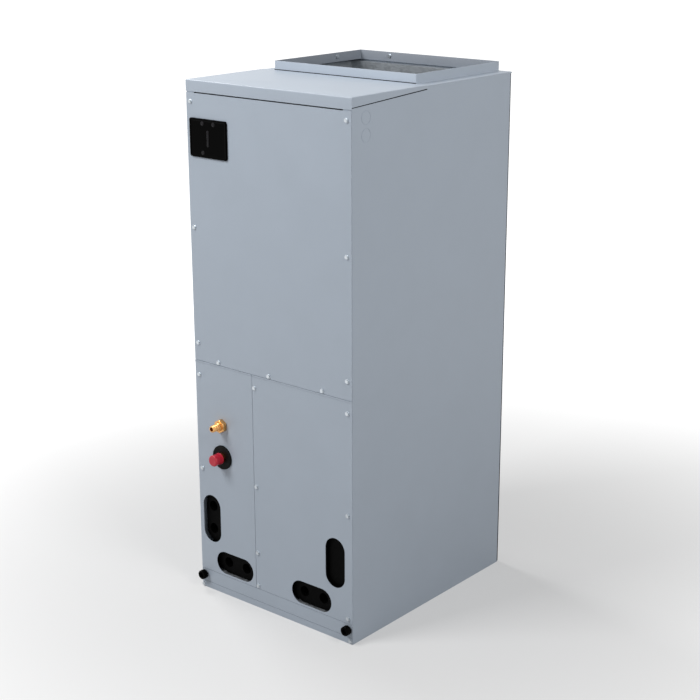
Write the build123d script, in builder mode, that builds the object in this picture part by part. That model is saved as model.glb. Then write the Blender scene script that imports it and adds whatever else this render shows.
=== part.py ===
from build123d import *
import os
from math import atan2, cos, degrees, radians, sin, sqrt

os.makedirs("parts", exist_ok=True)

# An upright residential air handler, in millimetres.
# X runs to the right, the front looks towards -Y, Z is up and the floor is at zero.
# The origin is on the floor under the middle of the whole outline, line stubs included.

# Cabinet
cabinet_width = 444.5
cabinet_depth = 533.4
cabinet_height = 1143.0
sheet = 1.0
bracket_sheet = 1.2
bend_radius = 1.8
seat_gap = 0.3
edge_gap = 0.5
front_reach = 33.0
front_return = 22.0
rear_return = 18.0
rear_hem = 4.0
rear_inset = 1.5
liner = 13.0

# Front levels
base_rail_height = 14.5
door_gap = 0.8
door_height = 29.5
door_flange = 12.0
seam_height = 540.0
seam_gap = 1.0
seam_lip = 0.8
seam_lip_height = 2.6
split_from_left = 169.0
split_gap = 1.0
cover_flange = 24.0
cover_gap = 2.5

# Top cover and supply collar
cover_depth = 235.5
cover_side_flange_front = 20.0
cover_side_flange_rear = 7.0
collar_height = 19.0
collar_side_inset = 30.0
collar_seam = 2.0
collar_rear_inset = 5.0
collar_lap = 14.0
collar_corner_gap = 0.6

# Base frame and filter rack
base_flange = 24.0
filter_thickness = 19.0
filter_width = 394.0
filter_length = 496.0
filter_slack = 2.0
filter_border = 16.0
rail_lip = 31.0
rail_sheet = 0.8
pleat_count = 24
pleat_sheet = 1.2
shelf_skirt = 11.0
shelf_flange = 30.0

# Thumb knobs of the filter door
knob_inset = 11.0
knob_level = 33.0
knob_radius = 10.5
knob_length = 11.0
knob_neck_radius = 4.5
knob_neck = 3.0
knob_stud_radius = 2.5
knob_stud_length = 16.0
knob_recess_radius = 5.5
knob_recess = 3.5
knob_flutes = 10
knob_flute_radius = 2.0
knob_flute_depth = 0.8
knob_chamfer = 0.8
knob_hole_radius = 3.2

# Drain slots in the front
slot_length = 112.0
slot_width = 53.0
slot_shift = -5.0
slot_low_spread = 113.0
slot_low_level = 76.5
slot_high_spread = 180.0
slot_high_level = 174.0
slot_clear = 2.0
slot_recess = 9.0
port_radius = 12.0
port_spread = 27.0

# Drain pans
pan_wall = 3.0
pan_height = 56.0
pan_front = 22.0
pan_rear = 26.0
pan_side_gap = 1.0
pan_foot_cover = 40.0
pan_well_margin = 70.0
upright_pan_depth = 30.0
upright_pan_top = 500.0

# Coil
coil_front = 75.0
coil_rear = 48.0
coil_thickness = 44.0
coil_foot_spread = 148.0
coil_foot_level = 62.0
coil_head_spread = 32.0
coil_head_level = 496.0
end_plate = 1.5
end_plate_lip = 3.0
tube_radius = 4.8
tube_pitch = 40.0
tube_row_spread = 11.0
bend_reach = 3.0
bend_count = 9
baffle_clear = 1.0

# Refrigerant connections, measured from the left edge and the floor
liquid_from_left = 77.0
liquid_level = 404.0
hex_across = 27.0
hex_height = 11.0
shoulder_radius = 10.0
shoulder_length = 6.0
fitting_tail = 14.0
stub_radius = 7.5
stub_bore = 4.8
liquid_hole_radius = 9.0
suction_from_left = 76.0
suction_level = 330.0
suction_radius = 11.1
suction_wall = 1.1
suction_reach = 29.0
suction_depth = 38.0
header_foot_level = 122.0
grommet_radius = 27.0
grommet_groove_radius = 22.0
grommet_lip = 5.0
cap_wall = 1.5
cap_length = 22.5
cap_clear = 0.1
cap_reach = 32.0
line_radius = 4.8
line_bend = 16.0
distributor_x = -20.0
distributor_radius = 11.0
distributor_length = 26.0
feeder_radius = 2.6
feeder_level = 376.0

# Blower
wheel_radius = 127.0
wheel_bore_radius = 99.0
wheel_width = 203.0
blade_count = 40
blade_sheet = 1.0
blade_sag = 3.2
blade_lead = 5.0
wheel_ring = 4.0
hub_plate = 2.5
hub_radius = 19.0
hub_length = 26.0
blower_from_front = 300.0
blower_level = 735.0
scroll_start_radius = 146.0
scroll_step = 20.0
scroll_width = 240.0
scroll_sheet = 1.0
throat = 30.0
tongue_radius = 10.0
inlet_radius = 106.0
inlet_lip = 10.0
deck_level = 905.0
deck_rail = 20.0
shaft_radius = 6.35
shaft_clear = 0.05
motor_radius = 70.0
motor_start = 22.0
motor_length = 120.0
motor_cap_step = 8.0
band_width = 16.0
band_thickness = 2.0
arm_width = 14.0
arm_count = 3
arm_foot = 18.0

# Plenum and controls
partition_from_front = 232.0
heater_opening_width = 226.0
heater_opening_height = 76.0
heater_opening_rise = 22.0
heater_plate_lip = 12.0
component_gap = 14.0
terminal_gap = 4.8
box_end_gap = 4.0
control_box_height = 108.0
control_box_depth = 60.0
control_box_side_gap = 16.25
control_box_drop = 125.0
board_width = 120.0
board_height = 84.0
board_inset = 10.0
board_thickness = 1.6
post_height = 8.0
transformer_width = 62.0
transformer_height = 54.0
transformer_depth = 46.0
terminal_width = 74.0
terminal_height = 30.0
terminal_depth = 24.0
breaker_width = 50.0
breaker_height = 60.0
breaker_depth = 58.0
breaker_setback = 9.0
capacitor_radius = 22.0
capacitor_length = 76.0
capacitor_side_gap = 16.25
capacitor_from_front = 120.0

# Black cover of the power disconnect
cover_from_left = 10.5
power_cover_width = 105.5
power_cover_drop = 157.0
power_cover_height = 80.0
power_cover_rim = 4.0
power_cover_lip = 4.0
power_cover_proud = 3.0
power_cover_plug = 6.0
rib_width = 5.0
rib_height = 34.0
rib_proud = 1.6
field_recess = 1.2
pad_radius = 4.0
pad_proud = 0.7

# Screws
screw_inset = 12.0
screw_head_radius = 3.6
screw_flange_radius = 4.8
screw_flange_height = 0.8
screw_head_height = 3.4
screw_shank_radius = 1.9
screw_shank_length = 9.0
screw_hole_radius = 2.2
knockout_radius = 14.0
knockout_groove = 1.2
knockout_depth = 0.4
knockout_from_front = 43.0
knockout_drops = (43.0, 77.0)

# Places of the screws along the panel edges
upper_screw_drop = 17.5
upper_screw_middle = 0.51
upper_screw_rise = 40.0
seam_screw_rise = 6.0
seam_screws_from_left = (72.0, 218.0, 366.0)
lower_screw_drops = (28.0, 250.0)
lower_screw_rise = 11.4
post_screw_from_split = 7.0
post_screw_drops = (29.0, 253.0)
post_screw_rises = (86.4, 7.4)
tube_screw_drops = (32.0, 250.0)
base_screw_inset = 6.0
base_screw_level = 7.0
collar_screw_drop = 9.0
collar_screw_from_back = 85.0
collar_screw_x = -106.5

# Places worked out from the sizes
half_width = cabinet_width / 2
front_y = (front_reach - cabinet_depth) / 2
back_y = front_y + cabinet_depth
left_x = -half_width
frame_y = front_y + sheet + seat_gap
frame_back_y = frame_y + sheet
rear_flange_y = back_y - rear_hem - sheet
ring_front_y = frame_back_y + bend_radius - sheet
ring_back_y = rear_flange_y - bend_radius + sheet
inner_half = half_width - sheet
lined_half = inner_half - liner
return_x = half_width - front_return
side_top = cabinet_height - 2 * sheet
door_bottom = base_rail_height + door_gap
door_top = door_bottom + door_height
lower_panel_bottom = door_top + door_gap
lower_panel_top = seam_height - seam_gap
upper_panel_top = cabinet_height - cover_flange - cover_gap
split_x = left_x + split_from_left
panel_half = half_width - edge_gap
filter_rail_top = base_rail_height + 2 * rail_sheet + filter_thickness + filter_slack
shelf_bottom = filter_rail_top + seat_gap
shelf_top = shelf_bottom + shelf_skirt
cover_rear_y = front_y + cover_depth
collar_front_y = cover_rear_y + collar_seam
collar_half = half_width - collar_side_inset
collar_back_y = back_y - collar_rear_inset
top_sheet_z = cabinet_height - 2 * sheet
knob_x = half_width - knob_inset
boss_y = front_y + slot_recess
pan_front_y = front_y + pan_front
pan_back_y = back_y - pan_rear
pan_half = lined_half - pan_side_gap
coil_front_y = front_y + coil_front
coil_back_y = back_y - coil_rear
coil_lean = degrees(atan2(coil_foot_spread - coil_head_spread, coil_head_level - coil_foot_level))
coil_run = sqrt((coil_foot_spread - coil_head_spread) ** 2 + (coil_head_level - coil_foot_level) ** 2)
liquid_x = left_x + liquid_from_left
suction_x = left_x + suction_from_left
blower_y = front_y + blower_from_front
partition_y = front_y + partition_from_front
power_cover_x = left_x + cover_from_left + power_cover_width / 2
power_cover_bottom = cabinet_height - power_cover_drop
power_cover_z = power_cover_bottom + power_cover_height / 2
pan_well_width = 2 * (coil_foot_spread - pan_foot_cover)
capacitor_x = lined_half - capacitor_side_gap - capacitor_radius
plug_half_width = power_cover_width / 2 - power_cover_lip
plug_half_height = power_cover_height / 2 - power_cover_lip
sides = (("left", -1), ("right", 1))


def save(builder, name):
    builder.part.label = name
    export_step(builder.part, f"parts/{name}.step")


def folded_section(points, thickness, radius, inner_side):
    # The cut through a folded sheet: a line with round corners and its parallel.
    with BuildLine() as outline:
        FilletPolyline(*points, radius=radius)
        offset(amount=thickness, side=inner_side)
    make_face(outline.edges())


def front_plane(depth):
    # A plane facing the front, at a depth behind the front face of the cabinet.
    return Plane(origin=(0, front_y + depth, 0), x_dir=(1, 0, 0), z_dir=(0, -1, 0))


def box_between(low, high, mode=Mode.ADD):
    size = [b - a for a, b in zip(low, high)]
    with Locations(tuple((a + b) / 2 for a, b in zip(low, high))):
        Box(*size, mode=mode)


def screw_at(point, direction):
    # A hex washer head screw whose head lies on the point, the shank going inwards.
    seat = Plane(origin=point, z_dir=direction)
    with BuildSketch(seat) as washer:
        Circle(screw_flange_radius)
    extrude(washer.sketch, amount=screw_flange_height)
    with BuildSketch(seat.offset(screw_flange_height)) as hexagon:
        RegularPolygon(screw_head_radius, 6, major_radius=False)
    extrude(hexagon.sketch, amount=screw_head_height - screw_flange_height)
    with BuildSketch(seat) as shank:
        Circle(screw_shank_radius)
    extrude(shank.sketch, amount=-screw_shank_length)


def screws_on_front(places):
    for x, z in places:
        screw_at((x, front_y, z), (0, -1, 0))


def screw_holes(places, depth, thickness):
    with BuildSketch(front_plane(depth)) as holes:
        with Locations(*places):
            Circle(screw_hole_radius)
    extrude(holes.sketch, amount=-thickness, mode=Mode.SUBTRACT)


def slot_cut(centre, upright, grow, depth, thickness):
    # An obround hole through a sheet that faces the front.
    turn = 90 if upright else 0
    with BuildSketch(front_plane(depth)) as slot:
        with Locations(Location((centre[0], centre[1], 0), (0, 0, turn))):
            SlotOverall(slot_length + 2 * grow, slot_width + 2 * grow)
    extrude(slot.sketch, amount=-thickness, mode=Mode.SUBTRACT)


# Rows of screws: x and height of each
edge_x = half_width - screw_inset
post_screw_x = split_x + post_screw_from_split
upper_levels = (
    upper_panel_top - upper_screw_drop,
    seam_height + upper_screw_middle * (upper_panel_top - seam_height),
    seam_height + upper_screw_rise,
)
lower_levels = [seam_height - drop for drop in lower_screw_drops]
lower_levels += [lower_panel_bottom + lower_screw_rise]
post_levels = [seam_height - drop for drop in post_screw_drops]
post_levels += [lower_panel_bottom + rise for rise in post_screw_rises]
tube_levels = [seam_height - drop for drop in tube_screw_drops]
upper_places = [(side * edge_x, z) for side in (-1, 1) for z in upper_levels]
upper_places += [(left_x + x, seam_height + seam_screw_rise) for x in seam_screws_from_left]
coil_places = [(edge_x, z) for z in lower_levels]
coil_places += [(post_screw_x, z) for z in post_levels]
tube_places = [(-edge_x, z) for z in tube_levels]
base_places = [(side * (half_width - base_screw_inset), base_screw_level) for side in (-1, 1)]
low_slots = [(slot_shift + side * slot_low_spread, slot_low_level) for side in (-1, 1)]
high_slots = [(slot_shift + side * slot_high_spread, slot_high_level) for side in (-1, 1)]
flange_holes = upper_places[:6] + coil_places[:3] + tube_places + base_places
knob_places = [(side * knob_x, knob_level) for side in (-1, 1)]
collar_screw_z = cabinet_height + collar_height - collar_screw_drop
collar_screw_points = (
    (Plane.YZ.offset(-collar_half + sheet), (collar_back_y - collar_screw_from_back, collar_screw_z)),
    (Plane.XZ.offset(-collar_back_y + sheet), (collar_screw_x, collar_screw_z)),
)

# Side panels, each one bent sheet with its front and rear edges turned in
for name, side in sides:
    with BuildPart() as side_panel:
        with BuildSketch():
            folded_section(
                [
                    (side * return_x, frame_y),
                    (side * half_width, frame_y),
                    (side * half_width, back_y - rear_hem),
                    (side * (half_width - rear_return), back_y - rear_hem),
                ],
                sheet,
                bend_radius,
                Side.LEFT if side > 0 else Side.RIGHT,
            )
        extrude(amount=side_top)
        for centre in low_slots:
            slot_cut(centre, False, slot_clear, sheet, 2 * sheet)
        for centre in high_slots:
            slot_cut(centre, True, slot_clear, sheet, 2 * sheet)
        screw_holes(flange_holes, sheet, 2 * sheet)
        with BuildSketch(front_plane(sheet)):
            with Locations(*knob_places):
                Circle(knob_hole_radius)
        extrude(amount=-2 * sheet, mode=Mode.SUBTRACT)
        if side < 0:
            notch_half_width = plug_half_width + slot_clear
            notch_half_height = plug_half_height + slot_clear
            box_between(
                (power_cover_x - notch_half_width, frame_y, power_cover_z - notch_half_height),
                (-return_x, frame_back_y, power_cover_z + notch_half_height),
                Mode.SUBTRACT,
            )
        with BuildSketch(Plane.YZ.offset(side * half_width)):
            for drop in knockout_drops:
                with Locations((front_y + knockout_from_front, cabinet_height - drop)):
                    Circle(knockout_radius)
                    Circle(knockout_radius - knockout_groove, mode=Mode.SUBTRACT)
        extrude(amount=-side * knockout_depth, mode=Mode.SUBTRACT)
    save(side_panel, f"side_panel_{name}")

# Back panel, its side edges hemmed forward onto the side panels
with BuildPart() as back_panel:
    hem_x = half_width - rear_inset
    with BuildSketch():
        folded_section(
            [
                (-hem_x, back_y - rear_hem),
                (-hem_x, back_y),
                (hem_x, back_y),
                (hem_x, back_y - rear_hem),
            ],
            sheet,
            bend_radius,
            Side.RIGHT,
        )
    extrude(amount=side_top)
save(back_panel, "back_panel")

# Front top cover, a lid whose side flanges taper towards the back
with BuildPart() as top_front_cover:
    cover_half = half_width + sheet
    box_between(
        (-cover_half, front_y, cabinet_height - sheet),
        (cover_half, cover_rear_y, cabinet_height),
    )
    box_between(
        (-cover_half, front_y, cabinet_height - cover_flange),
        (cover_half, front_y + sheet, cabinet_height),
    )
    for name, side in sides:
        with BuildSketch(Plane.YZ.offset(side * half_width)):
            Polygon(
                (front_y, cabinet_height),
                (front_y, cabinet_height - cover_side_flange_front),
                (cover_rear_y, cabinet_height - cover_side_flange_rear),
                (cover_rear_y, cabinet_height),
                align=None,
            )
        extrude(amount=side * sheet)
    outer_edges = top_front_cover.edges().filter_by(Axis.Y).group_by(Axis.Z)[-1]
    fillet(outer_edges, bend_radius / 2)
    front_edge = top_front_cover.faces().sort_by(Axis.Y)[0].edges().sort_by(Axis.Z)[-1]
    fillet(front_edge, bend_radius / 2)
save(top_front_cover, "top_front_cover")

# Rear top frame, with the supply collar bent up round its opening
with BuildPart() as top_rear_frame:
    frame_front_y = cover_rear_y - collar_lap
    opening_front_y = collar_front_y + sheet
    box_between(
        (-half_width, frame_front_y, top_sheet_z),
        (half_width, back_y, top_sheet_z + sheet),
    )
    box_between(
        (-collar_half + sheet, opening_front_y, top_sheet_z),
        (collar_half - sheet, collar_back_y - sheet, top_sheet_z + sheet),
        Mode.SUBTRACT,
    )
    collar_top = cabinet_height + collar_height
    inner = collar_half - collar_corner_gap - sheet
    for y in (collar_front_y, collar_back_y - sheet):
        box_between((-inner, y, top_sheet_z), (inner, y + sheet, collar_top))
    for name, side in sides:
        low = min(side * collar_half, side * (collar_half - sheet))
        box_between(
            (low, collar_front_y + collar_corner_gap, top_sheet_z),
            (low + sheet, collar_back_y - collar_corner_gap, collar_top),
        )
    for wall, place in collar_screw_points:
        with BuildSketch(wall):
            with Locations(place):
                Circle(screw_hole_radius)
        extrude(amount=-sheet, mode=Mode.SUBTRACT)
save(top_rear_frame, "top_rear_frame")

# Base frame: a ring of folded steel round the return air opening
with BuildPart() as base_frame:
    box_between((-inner_half, ring_front_y, 0), (inner_half, ring_back_y, base_rail_height))
    box_between((-return_x, front_y, 0), (return_x, ring_front_y, base_rail_height))
    box_between(
        (-inner_half + bracket_sheet, ring_front_y, sheet),
        (inner_half - bracket_sheet, ring_back_y - bracket_sheet, base_rail_height),
        Mode.SUBTRACT,
    )
    box_between(
        (-return_x, front_y + sheet, sheet),
        (return_x, ring_front_y, base_rail_height),
        Mode.SUBTRACT,
    )
    box_between(
        (-inner_half + base_flange, front_y + base_flange, 0),
        (inner_half - base_flange, ring_back_y - base_flange, sheet),
        Mode.SUBTRACT,
    )
    box_between((-panel_half, front_y, 0), (panel_half, front_y + sheet, base_rail_height))
    screw_holes(base_places, 0, sheet)
save(base_frame, "base_frame")

# Filter rails, two channels that open towards the middle
rail_front_y = front_y + pan_front
with BuildPart() as filter_rails:
    for name, side in sides:
        with BuildSketch(Plane.XZ.offset(-rail_front_y)):
            folded_section(
                [
                    (side * (inner_half - rail_lip), base_rail_height),
                    (side * inner_half, base_rail_height),
                    (side * inner_half, filter_rail_top),
                    (side * (inner_half - rail_lip), filter_rail_top),
                ],
                rail_sheet,
                bend_radius,
                Side.LEFT if side > 0 else Side.RIGHT,
            )
        extrude(amount=-(ring_back_y - rail_front_y))
save(filter_rails, "filter_rails")

# Filter: a card frame round a pleated medium
filter_bottom = base_rail_height + rail_sheet + seat_gap
filter_front_y = front_y + door_flange + 2.0
filter_back_y = filter_front_y + filter_length
with BuildPart() as filter_frame:
    box_between(
        (-filter_width / 2, filter_front_y, filter_bottom),
        (filter_width / 2, filter_back_y, filter_bottom + filter_thickness),
    )
    box_between(
        (-filter_width / 2 + filter_border, filter_front_y + filter_border, filter_bottom),
        (filter_width / 2 - filter_border, filter_back_y - filter_border, filter_bottom + filter_thickness),
        Mode.SUBTRACT,
    )
save(filter_frame, "filter_frame")

with BuildPart() as filter_medium:
    pleat_start = -filter_width / 2 + filter_border
    pleat_step = (filter_width - 2 * filter_border) / pleat_count
    pleat_low = filter_bottom + 1.0
    pleat_high = filter_bottom + filter_thickness - 1.0 - pleat_sheet
    zigzag = []
    for index in range(pleat_count + 1):
        zigzag.append((pleat_start + index * pleat_step, pleat_high if index % 2 else pleat_low))
    upper_line = [(x, z + pleat_sheet) for x, z in reversed(zigzag)]
    with BuildSketch(Plane.XZ.offset(-(filter_front_y + filter_border))):
        with BuildLine():
            Polyline(*zigzag, *upper_line, close=True)
        make_face()
    extrude(amount=-(filter_length - 2 * filter_border))
save(filter_medium, "filter_medium")

# Filter door
with BuildPart() as filter_door:
    box_between((-panel_half, front_y, door_bottom), (panel_half, front_y + sheet, door_top))
    flange_half = return_x - 2 * seat_gap
    box_between(
        (-flange_half, front_y, door_bottom),
        (flange_half, front_y + door_flange, door_bottom + sheet),
    )
    with BuildSketch(front_plane(0)):
        with Locations(*knob_places):
            Circle(knob_hole_radius)
    extrude(amount=-sheet, mode=Mode.SUBTRACT)
save(filter_door, "filter_door")

# Thumb knobs: a fluted head on a neck, with a recess in its face and a stud through the door
for name, side in sides:
    with BuildPart() as knob:
        neck = front_plane(-seat_gap)
        with BuildSketch(neck):
            with Locations((side * knob_x, knob_level)):
                Circle(knob_neck_radius)
        extrude(amount=knob_neck)
        head = front_plane(-seat_gap - knob_neck)
        with BuildSketch(head):
            with Locations((side * knob_x, knob_level)):
                Circle(knob_radius)
        extrude(amount=knob_length)
        rim = knob.edges().filter_by(GeomType.CIRCLE).group_by(Axis.Y)[0]
        chamfer(rim, knob_chamfer)
        with BuildSketch(head):
            with Locations((side * knob_x, knob_level)):
                with PolarLocations(knob_radius + knob_flute_radius - knob_flute_depth, knob_flutes):
                    Circle(knob_flute_radius)
        extrude(amount=knob_length, mode=Mode.SUBTRACT)
        with BuildSketch(front_plane(-seat_gap - knob_neck - knob_length)):
            with Locations((side * knob_x, knob_level)):
                Circle(knob_recess_radius)
        extrude(amount=-knob_recess, mode=Mode.SUBTRACT)
        with BuildSketch(neck):
            with Locations((side * knob_x, knob_level)):
                Circle(knob_stud_radius)
        extrude(amount=-(knob_stud_length))
    save(knob, f"knob_{name}")

# Coil shelf: a ring of four folded strips between the filter rack and the coil
with BuildPart() as coil_shelf:
    box_between((-inner_half, ring_front_y, shelf_bottom), (inner_half, ring_back_y, shelf_top))
    box_between((-return_x, frame_y, shelf_bottom), (return_x, ring_front_y, shelf_top))
    box_between(
        (-inner_half + sheet, ring_front_y + sheet, shelf_bottom),
        (inner_half - sheet, ring_back_y - sheet, shelf_top - sheet),
        Mode.SUBTRACT,
    )
    box_between(
        (-return_x + sheet, frame_back_y, shelf_bottom),
        (return_x - sheet, ring_front_y + sheet, shelf_top - sheet),
        Mode.SUBTRACT,
    )
    box_between(
        (-inner_half + shelf_flange, frame_back_y + shelf_flange, shelf_top - sheet),
        (inner_half - shelf_flange, ring_back_y - shelf_flange, shelf_top),
        Mode.SUBTRACT,
    )
    for side in (-1, 1):
        split(bisect_by=Plane.YZ.offset(side * (inner_half - shelf_flange)), keep=Keep.BOTH)
save(coil_shelf, "coil_shelf")

# Rails behind the front: the mid rail at the seam, the top rail and the post at the split
rail_depth = 18.0
mid_rail_half = 21.0
with BuildPart() as mid_rail:
    with BuildSketch(Plane.YZ.offset(-return_x)):
        folded_section(
            [
                (frame_y + rail_depth, seam_height - mid_rail_half),
                (frame_y, seam_height - mid_rail_half),
                (frame_y, seam_height + mid_rail_half),
                (frame_y + rail_depth, seam_height + mid_rail_half),
            ],
            sheet,
            bend_radius,
            Side.RIGHT,
        )
    extrude(amount=2 * return_x)
    screw_holes(upper_places[6:], sheet, 2 * sheet)
save(mid_rail, "mid_rail")

with BuildPart() as top_rail:
    with BuildSketch(Plane.YZ.offset(-return_x)):
        folded_section(
            [
                (frame_y + rail_depth, upper_panel_top - 12.0),
                (frame_y, upper_panel_top - 12.0),
                (frame_y, upper_panel_top - 0.5),
                (frame_y + rail_depth, upper_panel_top - 0.5),
            ],
            sheet,
            bend_radius,
            Side.RIGHT,
        )
    extrude(amount=2 * return_x)
save(top_rail, "top_rail")

with BuildPart() as centre_post:
    post_left = split_x - 6.5
    post_right = split_x + 17.0
    with BuildSketch(Plane.XY.offset(shelf_top)):
        folded_section(
            [
                (post_left, frame_y + rail_depth),
                (post_left, frame_y),
                (post_right, frame_y),
                (post_right, frame_y + rail_depth),
            ],
            sheet,
            bend_radius,
            Side.LEFT,
        )
    extrude(amount=seam_height - mid_rail_half - shelf_top)
    screw_holes(coil_places[3:], sheet, 2 * sheet)
save(centre_post, "centre_post")

# Left lower front panel, through which the refrigerant lines leave
with BuildPart() as tube_panel:
    right_edge = split_x - split_gap / 2
    box_between((-panel_half, front_y, lower_panel_bottom), (right_edge, front_y + sheet, lower_panel_top))
    box_between(
        (-panel_half, front_y - seam_lip, lower_panel_top - seam_lip_height),
        (right_edge, front_y, lower_panel_top),
    )
    slot_cut(low_slots[0], False, 0, 0, sheet)
    slot_cut(high_slots[0], True, 0, 0, sheet)
    screw_holes(tube_places, 0, sheet)
    with BuildSketch(front_plane(0)):
        with Locations((liquid_x, liquid_level)):
            Circle(liquid_hole_radius)
        with Locations((suction_x, suction_level)):
            Circle(grommet_groove_radius)
    extrude(amount=-sheet, mode=Mode.SUBTRACT)
save(tube_panel, "tube_panel")

# Right lower front panel, the access to the coil
with BuildPart() as coil_panel:
    left_edge = split_x + split_gap / 2
    box_between((left_edge, front_y, lower_panel_bottom), (panel_half, front_y + sheet, lower_panel_top))
    box_between(
        (left_edge, front_y - seam_lip, lower_panel_top - seam_lip_height),
        (panel_half, front_y, lower_panel_top),
    )
    slot_cut(low_slots[1], False, 0, 0, sheet)
    slot_cut(high_slots[1], True, 0, 0, sheet)
    screw_holes(coil_places, 0, sheet)
save(coil_panel, "coil_panel")

# Upper front panel, the access to the blower and the controls
with BuildPart() as upper_panel:
    box_between((-panel_half, front_y, seam_height), (panel_half, front_y + sheet, upper_panel_top))
    box_between(
        (power_cover_x - plug_half_width, front_y, power_cover_z - plug_half_height),
        (power_cover_x + plug_half_width, front_y + sheet, power_cover_z + plug_half_height),
        Mode.SUBTRACT,
    )
    screw_holes(upper_places, 0, sheet)
save(upper_panel, "upper_panel")

# Screw groups
with BuildPart() as upper_panel_screws:
    screws_on_front(upper_places)
save(upper_panel_screws, "upper_panel_screws")

with BuildPart() as coil_panel_screws:
    screws_on_front(coil_places)
save(coil_panel_screws, "coil_panel_screws")

with BuildPart() as cabinet_screws:
    screws_on_front(tube_places + base_places)
    for wall, place in collar_screw_points:
        screw_at(wall.from_local_coords(place), wall.z_dir)
save(cabinet_screws, "cabinet_screws")

# Liners: insulation board on the cabinet walls and on the two access panels
liner_bottom = shelf_top + seat_gap
liner_front_y = front_y + rail_depth + 8.0
liner_top = side_top - 4.0
for name, side in sides:
    with BuildPart() as side_liner:
        low = min(side * inner_half, side * lined_half)
        box_between((low, liner_front_y, liner_bottom), (low + liner, ring_back_y - liner, liner_top))
    save(side_liner, f"liner_{name}")

with BuildPart() as back_liner:
    box_between((-inner_half, ring_back_y - liner, liner_bottom), (inner_half, ring_back_y, liner_top))
save(back_liner, "liner_back")

panel_liner_y = front_y + sheet
panel_liner_depth = 12.0
with BuildPart() as upper_liner:
    box_between(
        (-return_x + 6.0, panel_liner_y, seam_height + mid_rail_half + 8.0),
        (return_x - 6.0, panel_liner_y + panel_liner_depth, deck_level - 6.0),
    )
save(upper_liner, "liner_upper_panel")

with BuildPart() as coil_liner:
    box_between(
        (post_right + 6.0, panel_liner_y, slot_high_level + slot_length / 2 + 14.0),
        (return_x - 6.0, panel_liner_y + panel_liner_depth, seam_height - mid_rail_half - 8.0),
    )
save(coil_liner, "liner_coil_panel")

# Slot blank: a black dish that closes the unused slot of the coil panel from behind
with BuildPart() as slot_blank:
    dish = front_plane(sheet)
    blank_place = Location((high_slots[1][0], high_slots[1][1], 0), (0, 0, 90))
    with BuildSketch(dish):
        with Locations(blank_place):
            SlotOverall(slot_length + 1.0, slot_width + 1.0)
            SlotOverall(slot_length - 3.0, slot_width - 3.0, mode=Mode.SUBTRACT)
    extrude(amount=-slot_recess)
    with BuildSketch(front_plane(sheet + slot_recess - 2.0)):
        with Locations(blank_place):
            SlotOverall(slot_length - 2.0, slot_width - 2.0)
    extrude(amount=-2.0)
save(slot_blank, "slot_blank")

# Flat drain pan: four troughs round a central opening, with two port fronts behind the low slots
with BuildPart() as drain_pan:
    pan_top = shelf_top + pan_height
    well_front_y = pan_front_y + pan_well_margin
    well_back_y = pan_back_y - pan_well_margin
    well_half = pan_well_width / 2
    box_between((-pan_half, pan_front_y, shelf_top), (pan_half, pan_back_y, pan_top))
    box_between(
        (-pan_half + pan_wall, pan_front_y + pan_wall, shelf_top + pan_wall),
        (pan_half - pan_wall, pan_back_y - pan_wall, pan_top),
        Mode.SUBTRACT,
    )
    box_between(
        (-well_half - pan_wall, well_front_y - pan_wall, shelf_top),
        (well_half + pan_wall, well_back_y + pan_wall, pan_top - pan_wall),
    )
    box_between(
        (-well_half, well_front_y, shelf_top),
        (well_half, well_back_y, pan_top),
        Mode.SUBTRACT,
    )
    with BuildSketch(front_plane(slot_recess)):
        with Locations(*low_slots):
            SlotOverall(slot_length - 2.0, slot_width - 2.0)
    extrude(amount=-(pan_front - slot_recess))
    with BuildSketch(front_plane(slot_recess)):
        for centre in low_slots:
            with Locations((centre[0] - port_spread, centre[1]), (centre[0] + port_spread, centre[1])):
                Circle(port_radius)
    extrude(amount=-(pan_front - slot_recess + pan_wall), mode=Mode.SUBTRACT)
    for side in (-1, 1):
        split(bisect_by=Plane.YZ.offset(side * well_half), keep=Keep.BOTH)
save(drain_pan, "drain_pan")

# Upright drain pan at the left wall, with its port front behind the left high slot
with BuildPart() as upright_pan:
    upright_x = -pan_half
    upright_bottom = pan_top + seat_gap
    box_between(
        (upright_x, pan_front_y, upright_bottom),
        (upright_x + upright_pan_depth, pan_back_y, upright_pan_top),
    )
    box_between(
        (upright_x + pan_wall, pan_front_y + pan_wall, upright_bottom + pan_wall),
        (upright_x + upright_pan_depth, pan_back_y - pan_wall, upright_pan_top - pan_wall),
        Mode.SUBTRACT,
    )
    high_place = Location((high_slots[0][0], high_slots[0][1], 0), (0, 0, 90))
    with BuildSketch(front_plane(slot_recess)):
        with Locations(high_place):
            SlotOverall(slot_length - 2.0, slot_width - 2.0)
    extrude(amount=-(pan_front - slot_recess))
    with BuildSketch(front_plane(slot_recess)):
        for step in (-port_spread, port_spread):
            with Locations((high_slots[0][0] - 4.0, high_slots[0][1] + step)):
                Circle(port_radius)
    extrude(amount=-(pan_front - slot_recess + pan_wall), mode=Mode.SUBTRACT)
save(upright_pan, "upright_drain_pan")

# Coil: two finned slabs that lean together over the pan, with end plates and return bends
slab_length = coil_back_y - coil_front_y


def slab_plane(side, y):
    # A plane facing the front at y, its second axis running up the leaning slab.
    lean = radians(-side * coil_lean)
    middle_x = side * (coil_foot_spread + coil_head_spread) / 2
    middle_z = (coil_foot_level + coil_head_level) / 2
    return Plane(origin=(middle_x, y, middle_z), x_dir=(cos(lean), 0, -sin(lean)), z_dir=(0, -1, 0))


for name, side in sides:
    with BuildPart() as coil_slab:
        with BuildSketch(slab_plane(side, coil_front_y)):
            Rectangle(coil_thickness, coil_run)
        extrude(amount=-slab_length)
    save(coil_slab, f"coil_slab_{name}")

with BuildPart() as end_plates:
    for name, side in sides:
        for y in (coil_front_y - end_plate, coil_back_y):
            with BuildSketch(slab_plane(side, y)):
                Rectangle(coil_thickness + end_plate_lip, coil_run + end_plate_lip)
            extrude(amount=-end_plate)
save(end_plates, "coil_end_plates")

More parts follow.
